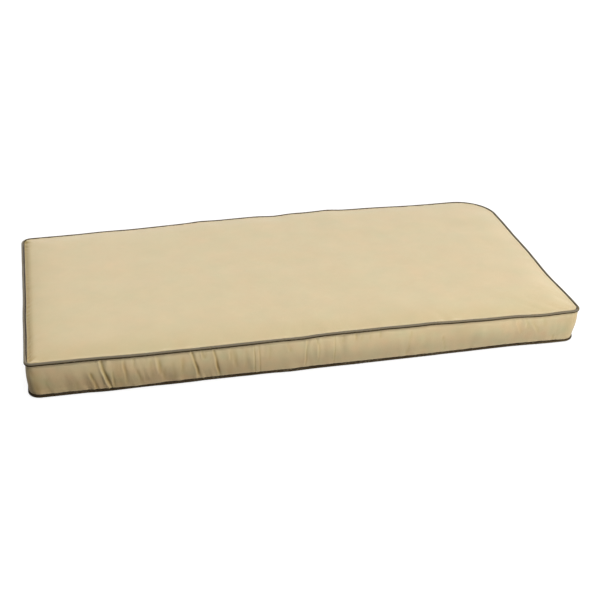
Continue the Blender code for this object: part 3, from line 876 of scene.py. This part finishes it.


# ---------------------------------------------------------------- rubbed wear, painted shade and highlight, warmth
RUBBED_HEIGHTS = (0.0002, 0.0012)   # a point raised this much starts to be rubbed, and is most rubbed
RUBBED_SHARE = 0.5
# painted highlight along the hem's fold and along the top of the band
HEM_LIT_REACH = 0.0030
LIT_TOP = 0.65
LIT_TOP_DROP = 0.0020
LIT_TOP_REACH = 0.0070
# painted shade in sunk places, crease valleys and beside the seams
HOLLOW_DEPTHS = (0.0002, 0.0016)
HOLLOW_SHADE = 0.7
SOFT_SHADE_ABOVE = 0.55             # the share of a soft hollow's shade that is left at the top of the band
SEAM_SHADE = 0.5
SEAM_SHADE_REACH = 0.0007
# painted shade low on the band towards its left end, with a warm tint
LOW_BAND_SHADE = 0.27
LOW_BAND_WARMTH = 0.40
BAND_WARMTH = 0.12                  # how far the handled band's dye wanders towards warm or cool
HANDLED_WAVES = (61, 0.018, 0.070)  # seed, shortest and longest wave
LOW_BAND_FADE_X = (-0.45, 0.25)           # between these the low band's painted shade and warm tint fade out, along X
# painted shade in the crevice beside the left cord and on the low strip inside it
LEFT_CREVICE_SHADE = 1.2
LEFT_CREVICE_REACH = 0.0012
LEFT_STRIP_SHADE = 0.40
LEFT_STRIP_IN = (0.0045, 0.0065)
LEFT_STRIP_OUT = (0.0090, 0.0200)
# painted shade where the top panel rolls down to the front and left seams
ROLL_SHADES = ((0, 0.20, 0.040), (1, 0.10, 0.050))      # axis, painted shade at the front left corner, reach


def overlaid(first, second):
    """Two shades one over the other: 1 - (1 - first) (1 - second)."""
    return 1.0 - (1.0 - first) * (1.0 - second)


def ridge_mask(at, relief):
    """Rubbed wear where the cloth is raised; painted highlight at the hem's fold and along the band's top."""
    hem = (at.across > 0.0) * bell(at.across, HEM_LIT_REACH)
    top_line = LIT_TOP * bell(at.across - BAND_HEIGHT + LIT_TOP_DROP, LIT_TOP_REACH)
    lit = np.where(at.band, np.maximum(hem, top_line), 0.0)
    return np.maximum(RUBBED_SHARE * smooth_step(*RUBBED_HEIGHTS, relief), lit)


def hollow_mask(at, relief, valleys, low_share, low_on_left):
    """Painted shade: hollows, crease valleys, seams, the band's low left end, beside the left and front
    seams.
    """
    sunk = HOLLOW_SHADE * smooth_step(*HOLLOW_DEPTHS, -relief)
    from_seams = np.minimum(np.abs(at.across), np.abs(at.across - BAND_HEIGHT))
    seams = SEAM_SHADE * np.exp(-from_seams / SEAM_SHADE_REACH)
    hollow = np.maximum(np.maximum(sunk, np.where(at.band, valleys, 0.0)), seams)
    soft = at.bells(SOFT_HOLLOWS) * between(SOFT_SHADE_ABOVE, 1.0, low_share)
    hollow = np.where(at.band, overlaid(overlaid(hollow, soft), LOW_BAND_SHADE * low_on_left), hollow)
    crevice = LEFT_CREVICE_SHADE * np.exp(-at.inset / LEFT_CREVICE_REACH)
    strip = smooth_step(*LEFT_STRIP_IN, at.inset) * (1.0 - smooth_step(*LEFT_STRIP_OUT, at.inset))
    beside = np.maximum(crevice, LEFT_STRIP_SHADE * strip)
    hollow = np.where(at.on("left") & at.panel, np.maximum(hollow, beside), hollow)
    roll = sum(shade * np.exp((TOP_CORNERS[0][axis] - at.points[:, axis]) / reach)
               for axis, shade, reach in ROLL_SHADES)
    hollow = np.where(at.panel, overlaid(hollow, np.clip(roll, 0.0, 1.0)), hollow)
    return np.clip(hollow, 0.0, 1.0)


def add_relief(piece):
    """Moves each point along its normal by the relief where it lies, and keeps the masks for the finish."""
    mesh = piece.data
    at = Reading(mesh)
    relief, valleys = band_relief(at)
    relief = np.where(at.band, relief, np.where(at.panel, panel_relief(at), 0.0))
    normals = read_vectors(mesh.vertex_normals, "vector")
    write_points(mesh, at.points + normals * (relief + np.where(at.panel, filling_relief(at), 0.0))[:, None])
    low_share = np.clip(1.0 - at.height_share, 0.0, 1.0)
    low_on_left = low_share * (1.0 - smooth_step(*LOW_BAND_FADE_X, at.points[:, 0]))
    handled = undulation(np.column_stack([at.along, at.across]), *HANDLED_WAVES)
    # Ridge: rubbed wear and painted highlight; Hollow: painted shade; Warmth: the warm tint of the low band's
    # painted shade, less the dye's random wander
    write_mask(mesh, "Ridge", ridge_mask(at, relief))
    write_mask(mesh, "Hollow", hollow_mask(at, relief, valleys, low_share, low_on_left))
    write_mask(mesh, "Warmth", np.where(at.band, LOW_BAND_WARMTH * low_on_left - BAND_WARMTH * handled, 0.0))
    mesh.shade_smooth()


# ---------------------------------------------------------------- pipings
PIPING_SIDES = 16
SWELL = 0.030
SWELL_WAVES = (51, 0.030, 0.120)    # seed, shortest and longest wave
PUCKER = 0.028
PUCKER_WAVES = (52, 0.0035, 0.0090)
PUCKER_SLANT = 0.9
PUCKER_SHADE = 0.10
PUCKER_HIGHLIGHT = 0.5
HIGHLIGHT_TURN = 0.9                   # the angle, in radians, where the puckers' painted highlight is strongest
CORD_THINNING = on_edges(
    # place, spread, change of the upper cord's radius as a share
    front=((0.4300, 0.090, -0.20),))
# the shadows on the upper cord, in degrees from its outermost line
UNDER_SHADOW = (-19.0, 3.0)         # the band's starts above the line and is full below it
INNER_SHADOW = 118.0                # the panel's starts here, and sooner on the left and on the far sides
INNER_SHADOW_WIDTH = 24.0
LEFT_SHADOW_SOONER = 26.0
LEFT_SHADOW_NARROWER = 10.0
LEFT_SHADOW_RUN = (0.235, 0.030)
FAR_SHADOW_SOONER = 20.0
RIGHT_DIMNESS = 0.32
BACK_DIMNESS = 0.15
LOWER_CORD_SHADE = 0.97
LOWER_CORD_LIGHT = 0.25
LOWER_CORD_TURN = 0.5               # its lightest line is so many radians below its outermost one
LIT_LOWER_CORD = on_edges(
    # place, spread, how much lighter the lower cord is there
    front=((0.4850, 0.035, 0.45),))


def build_piping(name, seam, places, shade, fullness):
    """A cord on the seam loop: point + radius * (cos a along the outward normal, sin a upward).

    The radius swells by slow gathers and puckers by short slanted ones, as a strip cut on the bias does.
    Shade gives, for each angle a, how deep in the seam's shadow the cord is. Raised puckers get a painted
    highlight, strongest on the cord's upper outer side.
    """
    skin = Skin()
    girth = 2.0 * math.pi * PIPING_RADIUS
    all_places = np.append(places, LOOP.length)
    swell = SWELL * gathers(places, *SWELL_WAVES)
    rings, hollows, rub_and_highlight = [], [], []
    for number in range(PIPING_SIDES):
        turn = 2.0 * math.pi * number / PIPING_SIDES
        pucker = gathers(places + PUCKER_SLANT * PIPING_RADIUS * turn, *PUCKER_WAVES)
        radius = PIPING_RADIUS * (fullness + swell + PUCKER * pucker)
        points = seam.points.copy()
        points[:, :2] += seam.normals * (radius * math.cos(turn))[:, None]
        points[:, 2] += radius * math.sin(turn)
        across = girth * number / PIPING_SIDES
        weave = np.column_stack([all_places, np.full(len(all_places), across)])
        rings.append(skin.add_ring(points, weave, all_places, across))
        hollows.append(shade(turn, places) - PUCKER_SHADE * pucker)
        # painted highlight on the raised puckers, strongest on the cord's upper outer side
        rub_and_highlight.append(PUCKER_HIGHLIGHT * pucker * max(math.cos(turn - HIGHLIGHT_TURN), 0.0))
    rings.append(dict(rings[0], across=girth, weave=rings[0]["weave"] + [0.0, girth]))
    for low, high in zip(rings, rings[1:]):
        skin.join(low, high)
    piece = skin.make_piece(name)
    write_mask(piece.data, "Hollow", np.clip(np.concatenate(hollows), 0.0, 1.0))
    write_mask(piece.data, "Ridge", np.clip(np.concatenate(rub_and_highlight), 0.0, 1.0))
    return piece


def top_piping_shade(turn, places):
    """1 on the side tucked against the band and the panel, easing to 0 on the side that shows.

    On the left the panel lies low beside the cord, and the shadow reaches nearly to its top. The right and
    back sides, turned from the light, are dimmer.
    """
    angle = (turn + math.pi) % (2.0 * math.pi) - math.pi
    under = smooth_step(*np.radians(UNDER_SHADOW), -angle)
    edge, from_middle = LOOP.find(places)
    on_left = on_run("left", LEFT_SHADOW_RUN, edge, from_middle)
    on_right = edge == EDGES.index("right")
    on_back = edge == EDGES.index("back")
    sooner = LEFT_SHADOW_SOONER * on_left + FAR_SHADOW_SOONER * (on_right | on_back)
    begins = np.radians(INNER_SHADOW - sooner)
    width = np.radians(INNER_SHADOW_WIDTH - LEFT_SHADOW_NARROWER * on_left)
    inner = smooth_step(begins, begins + width, abs(angle))
    return overlaid(np.maximum(under, inner), RIGHT_DIMNESS * on_right + BACK_DIMNESS * on_back)


def bottom_piping_shade(turn, places):
    """The lower cord lies in the shadow of the band's fold all round, but for its outermost line."""
    outermost = max(math.cos(turn + LOWER_CORD_TURN), 0.0) ** 4
    return LOWER_CORD_SHADE - (LOWER_CORD_LIGHT + bells(LIT_LOWER_CORD, *LOOP.find(places))) * outermost


# ---------------------------------------------------------------- finishes
class Wiring:
    """Short calls for wiring a node tree. A value is a number, a tuple or another node's output."""

    def __init__(self, tree):
        self.tree = tree

    def feed(self, socket, value):
        if isinstance(value, bpy.types.NodeSocket):
            self.tree.links.new(value, socket)
        else:
            socket.default_value = value

    def node(self, kind, inputs=(), **settings):
        """A node with its settings, and its inputs given as pairs of name or number and value."""
        made = self.tree.nodes.new(kind)
        made.location = (240.0 * (len(self.tree.nodes) - 1), 0.0)
        for name, value in settings.items():
            setattr(made, name, value)
        for key, value in inputs:
            self.feed(made.inputs[key], value)
        return made

    def math(self, operation, *values, clamp=False):
        """The outcome of one sum on numbers."""
        made = self.node("ShaderNodeMath", list(enumerate(values)), operation=operation, use_clamp=clamp)
        return made.outputs[0]

    def vector(self, operation, *values):
        """The outcome of one sum on vectors."""
        made = self.node("ShaderNodeVectorMath", list(enumerate(values)), operation=operation)
        return made.outputs[0]

    def joined(self, *values):
        """A vector of up to three values."""
        return self.node("ShaderNodeCombineXYZ", list(enumerate(values))).outputs[0]

    def parts(self, place):
        """The x, y and z of a vector."""
        return self.node("ShaderNodeSeparateXYZ", [(0, place)]).outputs

    def mask(self, name):
        """A number kept with each point of the mesh."""
        return self.node("ShaderNodeAttribute", attribute_name=name).outputs["Fac"]

    def noise(self, place, scale, detail, roughness):
        """Smooth noise: its value and its three-part colour, all about 0.5."""
        pairs = [("Vector", place), ("Scale", scale), ("Detail", detail), ("Roughness", roughness)]
        made = self.node("ShaderNodeTexNoise", pairs, noise_dimensions="3D")
        return made.outputs["Fac"], made.outputs["Color"]

    def ramp(self, value, low, high):
        """0 at low, 1 at high and smooth between."""
        pairs = [("Value", value), ("From Min", low), ("From Max", high)]
        return self.node("ShaderNodeMapRange", pairs, interpolation_type="SMOOTHSTEP").outputs["Result"]

    def tint(self, share, first, second, blend="MIX"):
        """A mix of two colours."""
        pairs = [(0, share), (6, first), (7, second)]
        return self.node("ShaderNodeMix", pairs, data_type="RGBA", blend_type=blend).outputs[2]

    def group(self, name, **inputs):
        """One of the shader groups, its inputs given by name with underscores for spaces."""
        made = self.node("ShaderNodeGroup")
        made.node_tree = GROUPS[name]
        for key, value in inputs.items():
            self.feed(made.inputs[key.replace("_", " ")], value)
        return made.outputs


def new_group(name, inputs, outputs):
    """An empty shader group with sockets as given; returns its wiring and its inner ends' sockets."""
    group = bpy.data.node_groups.new(name, "ShaderNodeTree")
    for way, sockets in (("INPUT", inputs), ("OUTPUT", outputs)):
        for socket, kind in sockets.items():
            group.interface.new_socket(socket, in_out=way, socket_type="NodeSocket" + kind)
    wiring = Wiring(group)
    return wiring, wiring.node("NodeGroupInput").outputs, wiring.node("NodeGroupOutput").inputs


def make_weave_group():
    """Plain weave: with p and q the place over the yarn spacing, s = sin(pi p) sin(pi q).

    The height is the square root of |s|, and a warp yarn is on top where s is above 0. The place wanders by
    smooth noise first, as hand-guided cloth does.
    """
    wiring, given, out = new_group(
        "canvas_weave", {"Place": "Vector", "Yarn": "Float", "Wander": "Float", "Wander Size": "Float"},
        {"Height": "Float", "Warp": "Float"})
    scale = wiring.math("DIVIDE", 1.0, given["Wander Size"])
    _, drift = wiring.noise(given["Place"], scale, 3.0, 0.6)
    centred = wiring.vector("SUBTRACT", drift, (0.5, 0.5, 0.5))
    reach = wiring.joined(given["Wander"], given["Wander"])
    place = wiring.vector("ADD", given["Place"], wiring.vector("MULTIPLY", centred, reach))
    x, y, _ = wiring.parts(place)
    turn = wiring.math("DIVIDE", math.pi, given["Yarn"])
    across = wiring.math("SINE", wiring.math("MULTIPLY", x, turn))
    upward = wiring.math("SINE", wiring.math("MULTIPLY", y, turn))
    crossing = wiring.math("MULTIPLY", across, upward)
    wiring.feed(out["Height"], wiring.math("SQRT", wiring.math("ABSOLUTE", crossing)))
    wiring.feed(out["Warp"], wiring.math("MULTIPLY_ADD", crossing, 1.5, 0.5, clamp=True))
    return wiring.tree


def make_slub_group():
    """Thick places in the yarns: noise stretched along each yarn, kept where it passes a threshold."""
    wiring, given, out = new_group(
        "canvas_slubs", {"Place": "Vector", "Length": "Float", "Width": "Float", "Threshold": "Float"},
        {"Weft": "Float", "Warp": "Float"})
    x, y, _ = wiring.parts(given["Place"])
    for name, lengthwise, crosswise, height in (("Weft", x, y, 0.0), ("Warp", y, x, 7.3)):
        stretched = wiring.joined(wiring.math("DIVIDE", lengthwise, given["Length"]),
                                  wiring.math("DIVIDE", crosswise, given["Width"]), height)
        value, _ = wiring.noise(stretched, 1.0, 1.0, 0.4)
        top = wiring.math("ADD", given["Threshold"], 0.22)
        wiring.feed(out[name], wiring.ramp(value, given["Threshold"], top))
    return wiring.tree


def make_mottle_group():
    """Uneven dye: 1 + amount * 2 (n - 1/2) of layered noise n, and a second noise as a share of hue."""
    wiring, given, out = new_group("cloth_mottle", {"Place": "Vector", "Size": "Float", "Amount": "Float"},
                                   {"Factor": "Float", "Hue Share": "Float"})
    scale = wiring.math("DIVIDE", 1.0, given["Size"])
    value, colour = wiring.noise(given["Place"], scale, 4.0, 0.62)
    doubled = wiring.math("MULTIPLY", given["Amount"], 2.0)
    wiring.feed(out["Factor"], wiring.math("MULTIPLY_ADD", wiring.math("SUBTRACT", value, 0.5), doubled, 1.0))
    wiring.feed(out["Hue Share"], wiring.parts(colour)[1])
    return wiring.tree


def make_wear_and_painted_light_group():
    """Painted shade in hollows; rubbed wear and painted highlight on ridges.

    With s = 1 - hollow * darkening, the colour's red, green and blue are times s^0.8, s and s^1.7, so that
    the painted shade is warmer as well as darker; the ridge mask then mixes in the rub and highlight colour.
    """
    wiring, given, out = new_group(
        "cloth_wear_and_painted_light", {"Colour": "Color", "Hollow": "Float", "Ridge": "Float", "Darkening": "Float",
                       "Rubbed Colour": "Color"}, {"Colour": "Color"})
    shade = wiring.math("SUBTRACT", 1.0, wiring.math("MULTIPLY", given["Hollow"], given["Darkening"]))
    warmed = wiring.joined(wiring.math("POWER", shade, 0.8), shade, wiring.math("POWER", shade, 1.7))
    darker = wiring.tint(1.0, given["Colour"], warmed, "MULTIPLY")
    wiring.feed(out["Colour"], wiring.tint(given["Ridge"], darker, given["Rubbed Colour"]))
    return wiring.tree


GROUPS = {"weave": make_weave_group(), "slubs": make_slub_group(), "mottle": make_mottle_group(),
          "wear_and_painted_light": make_wear_and_painted_light_group()}
YARN_GLOSS = 0.08                   # how much smoother a yarn's top is
CLOTH_SPECULAR = 0.25
SHEEN_ROUGHNESS = 0.40


def woven_material(name, look):
    """A woven finish: dye, mottle, slubs, weave and painted light in the colour, and the yarns' relief in a
    bump.
    """
    material = bpy.data.materials.new(name)
    material.use_nodes = True
    wiring = Wiring(material.node_tree)
    shader = material.node_tree.nodes["Principled BSDF"]
    laid = wiring.node("ShaderNodeUVMap", uv_map="Weave").outputs[0]
    turned = [("Vector", laid), ("Rotation", (0.0, 0.0, look["bias"]))]
    place = wiring.node("ShaderNodeMapping", turned).outputs[0]
    weave = wiring.group("weave", Place=place, **look["weave"])
    slubs = wiring.group("slubs", Place=place, **look["slubs"])
    mottle = wiring.group("mottle", Place=laid, **look["mottle"])
    # the Warmth mask warms the dye: the warm tint of the low band's painted shade, and the dye's random
    # wander
    hue_share = wiring.math("SUBTRACT", mottle["Hue Share"], wiring.mask("Warmth"), clamp=True)
    dyed = wiring.tint(hue_share, (*look["warm"], 1.0), (*look["cool"], 1.0))
    thread_shade = look["thread_shade"]
    threads = wiring.math("MULTIPLY_ADD", weave["Warp"], thread_shade, 1.0 - thread_shade / 2.0)
    both = wiring.math("ADD", slubs["Weft"], slubs["Warp"])
    slubbed = wiring.math("MULTIPLY_ADD", both, look["slub_shade"], threads)
    shade = wiring.math("MULTIPLY", slubbed, mottle["Factor"])
    colour = wiring.tint(1.0, dyed, wiring.joined(shade, shade, shade), "MULTIPLY")
    # the Ridge mask: rubbed wear, with painted highlight at the hem's fold, the band's top and the cord's
    # puckers
    ridge_share = wiring.math("MULTIPLY", wiring.mask("Ridge"), look["rub_and_highlight_share"])
    # the Hollow mask: painted shade, as dark as the look's painted shade depth
    worn_and_shaded = wiring.group("wear_and_painted_light", Colour=colour, Hollow=wiring.mask("Hollow"), Ridge=ridge_share,
                        Darkening=look["painted_shade_depth"], Rubbed_Colour=(*look["rub_and_highlight"], 1.0))
    wiring.feed(shader.inputs["Base Color"], worn_and_shaded["Colour"])
    rough = wiring.math("MULTIPLY_ADD", weave["Height"], -YARN_GLOSS, look["roughness"], clamp=True)
    wiring.feed(shader.inputs["Roughness"], rough)
    relief = wiring.math("MULTIPLY", weave["Height"], look["weave_depth"])
    relief = wiring.math("MULTIPLY_ADD", both, look["slub_depth"], relief)
    bump = wiring.node("ShaderNodeBump", [("Strength", 1.0), ("Distance", 1.0), ("Height", relief)])
    wiring.feed(shader.inputs["Normal"], bump.outputs[0])
    shader.inputs["Specular IOR Level"].default_value = CLOTH_SPECULAR
    shader.inputs["Sheen Weight"].default_value = look["sheen"]
    shader.inputs["Sheen Roughness"].default_value = SHEEN_ROUGHNESS
    shader.inputs["Sheen Tint"].default_value = (1.0, 1.0, 1.0, 1.0)
    return material


# in a look, the painted shade depth sets how dark the painted shade is; the rubbed colour serves rubbed wear
# and painted highlight
BEIGE_LOOK = {
    "warm": (0.553, 0.413, 0.248), "cool": (0.474, 0.426, 0.259), "rub_and_highlight": (0.74, 0.62, 0.40),
    "bias": 0.0, "weave": {"Yarn": 0.00052, "Wander": 0.0012, "Wander_Size": 0.030},
    "slubs": {"Length": 0.016, "Width": 0.0011, "Threshold": 0.66}, "slub_shade": 0.04, "slub_depth": 0.00005,
    "mottle": {"Size": 0.050, "Amount": 0.07}, "thread_shade": 0.06, "rub_and_highlight_share": 0.40, "painted_shade_depth": 0.45,
    "roughness": 0.88, "weave_depth": 0.00007, "sheen": 0.30,
}
CHARCOAL_LOOK = {
    "warm": (0.168, 0.138, 0.092), "cool": (0.152, 0.132, 0.094), "rub_and_highlight": (0.30, 0.27, 0.20),
    "bias": math.radians(45.0), "weave": {"Yarn": 0.00048, "Wander": 0.0008, "Wander_Size": 0.020},
    "slubs": {"Length": 0.012, "Width": 0.0009, "Threshold": 0.66}, "slub_shade": 0.10, "slub_depth": 0.00010,
    "mottle": {"Size": 0.050, "Amount": 0.12}, "thread_shade": 0.20, "rub_and_highlight_share": 0.25, "painted_shade_depth": 0.95,
    "roughness": 0.80, "weave_depth": 0.00007, "sheen": 0.08,
}

# ---------------------------------------------------------------- stage
FLOOR_GREY = 0.18
FLOOR_LIFT = 0.85
FLOOR_HALF = 9.0
SUN_ANGLE = math.radians(50.0)      # a broad sky, not a small sun
BOX_TARGET = (0.0, 0.0, 0.03)
SENSOR_WIDTH = 36.0                 # in millimetres
IMAGE_SIZE = 600
FOCAL_PIXELS = 1220.7
CAMERA_ANGLES = (-11.848, 28.866, 0.2536)
CAMERA_PLACE = (-0.4143, -2.1092, 1.1860)
WORLD_STRENGTH = 0.06


def build_floor():
    """A pale floor, one square far larger than the view. The camera sees it lifted to plain white paper."""
    mesh = bpy.data.meshes.new("floor")
    corners = [(FLOOR_HALF * x, FLOOR_HALF * y, 0.0) for x, y in ((-1, -1), (1, -1), (1, 1), (-1, 1))]
    mesh.from_pydata(corners, [], [(0, 1, 2, 3)])
    floor = bpy.data.objects.new("floor", mesh)
    bpy.context.scene.collection.objects.link(floor)
    paint = bpy.data.materials.new("floor_paint")
    paint.use_nodes = True
    wiring = Wiring(paint.node_tree)
    shader = paint.node_tree.nodes["Principled BSDF"]
    shader.inputs["Base Color"].default_value = (FLOOR_GREY, FLOOR_GREY, FLOOR_GREY, 1.0)
    shader.inputs["Roughness"].default_value = 0.9
    shader.inputs["Emission Color"].default_value = (1.0, 1.0, 1.0, 1.0)
    seen = wiring.node("ShaderNodeLightPath").outputs["Is Camera Ray"]
    wiring.feed(shader.inputs["Emission Strength"], wiring.math("MULTIPLY", seen, FLOOR_LIFT))
    mesh.materials.append(paint)


def add_aimed(thing, place, back, roll=0.0):
    """Links a lamp or camera, puts it at a place and turns its back along a direction, level but for roll."""
    right = np.cross([0.0, 0.0, 1.0], back)
    right /= np.linalg.norm(right)
    up = np.cross(back, right)
    turned_right = math.cos(roll) * right + math.sin(roll) * up
    turned_up = -math.sin(roll) * right + math.cos(roll) * up
    rows = [[turned_right[i], turned_up[i], back[i], place[i]] for i in range(3)]
    bpy.context.scene.collection.objects.link(thing)
    thing.matrix_world = Matrix(rows + [[0.0, 0.0, 0.0, 1.0]])


def place_camera():
    """A camera at the photograph's angle: its axes follow from azimuth, elevation and roll."""
    azimuth, elevation, roll = (math.radians(value) for value in CAMERA_ANGLES)
    back = np.array([math.sin(azimuth) * math.cos(elevation), -math.cos(azimuth) * math.cos(elevation),
                     math.sin(elevation)])
    data = bpy.data.cameras.new("camera")
    data.sensor_width = SENSOR_WIDTH
    data.lens = FOCAL_PIXELS / IMAGE_SIZE * data.sensor_width
    data.clip_end = 50.0
    camera = bpy.data.objects.new("camera", data)
    add_aimed(camera, CAMERA_PLACE, back, roll)
    bpy.context.scene.camera = camera


def add_lamp(name, kind, place, target, colour, **settings):
    """A lamp at a place, turned towards its target."""
    data = bpy.data.lights.new(name, kind)
    data.color = colour
    for setting, value in settings.items():
        setattr(data, setting, value)
    back = np.array(place, float) - np.array(target, float)
    add_aimed(bpy.data.objects.new(name, data), place, back / np.linalg.norm(back))


def add_sun(name, place, energy, colour):
    add_lamp(name, "SUN", place, (0.0, 0.0, 0.0), colour, angle=SUN_ANGLE, energy=energy)


def add_softbox(name, place, width, height, energy, colour):
    add_lamp(name, "AREA", place, BOX_TARGET, colour, shape="RECTANGLE", size=width, size_y=height,
             energy=energy)


def light_scene():
    """Broad soft light from behind and from high in front, boxes by both ends, and a dim pale room."""
    add_sun("back_light", (0.2, 2.8, 1.5), 2.84, (0.92, 0.93, 1.0))
    add_sun("front_high", (0.5, -0.6, 3.0), 2.36, (1.0, 0.99, 0.92))
    add_softbox("right_box", (1.5, -1.3, 0.8), 0.9, 0.9, 6.0, (1.0, 0.98, 0.96))
    add_softbox("low_right_box", (1.3, -1.7, 0.45), 0.8, 0.6, 24.5, (1.0, 0.98, 0.95))
    add_softbox("left_box", (-1.5, 0.15, 0.25), 0.8, 0.5, 1.7, (1.0, 0.93, 0.80))
    world = bpy.data.worlds.new("room")
    world.use_nodes = True
    background = world.node_tree.nodes["Background"]
    background.inputs["Color"].default_value = (1.0, 1.0, 1.0, 1.0)
    background.inputs["Strength"].default_value = WORLD_STRENGTH
    bpy.context.scene.world = world
    bpy.context.scene.view_settings.view_transform = "Standard"


# ---------------------------------------------------------------- the object
sides, shares, places = LOOP.lay_stations()
top = Seam("top", TOP_CORNERS, TOP_SEAM_HEIGHT, sides, shares)
bottom = Seam("bottom", BOTTOM_CORNERS, BOTTOM_SEAM_HEIGHT, sides, shares)

canvas = woven_material("beige_canvas", BEIGE_LOOK)
charcoal = woven_material("charcoal_canvas", CHARCOAL_LOOK)

cover = build_cover(top, bottom, places)
settle(cover)
subdivide(cover)
add_relief(cover)
cover.data.materials.append(canvas)
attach(cover, "root")
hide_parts("cushion")

sides, shares, places = LOOP.lay_stations(finer=2)
thinned = 1.0 + bells(CORD_THINNING, *LOOP.find(places))
for piping_name, corners, height, shade, fullness in (
        ("top", TOP_CORNERS, TOP_SEAM_HEIGHT, top_piping_shade, thinned),
        ("bottom", BOTTOM_CORNERS, BOTTOM_SEAM_HEIGHT, bottom_piping_shade, 1.0)):
    seam = Seam(piping_name, corners, height, sides, shares)
    piping = build_piping(piping_name + "_piping_cord", seam, places, shade, fullness)
    piping.data.materials.append(charcoal)
    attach(piping, "root")
    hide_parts(piping_name + "_piping")

build_floor()
place_camera()
light_scene()
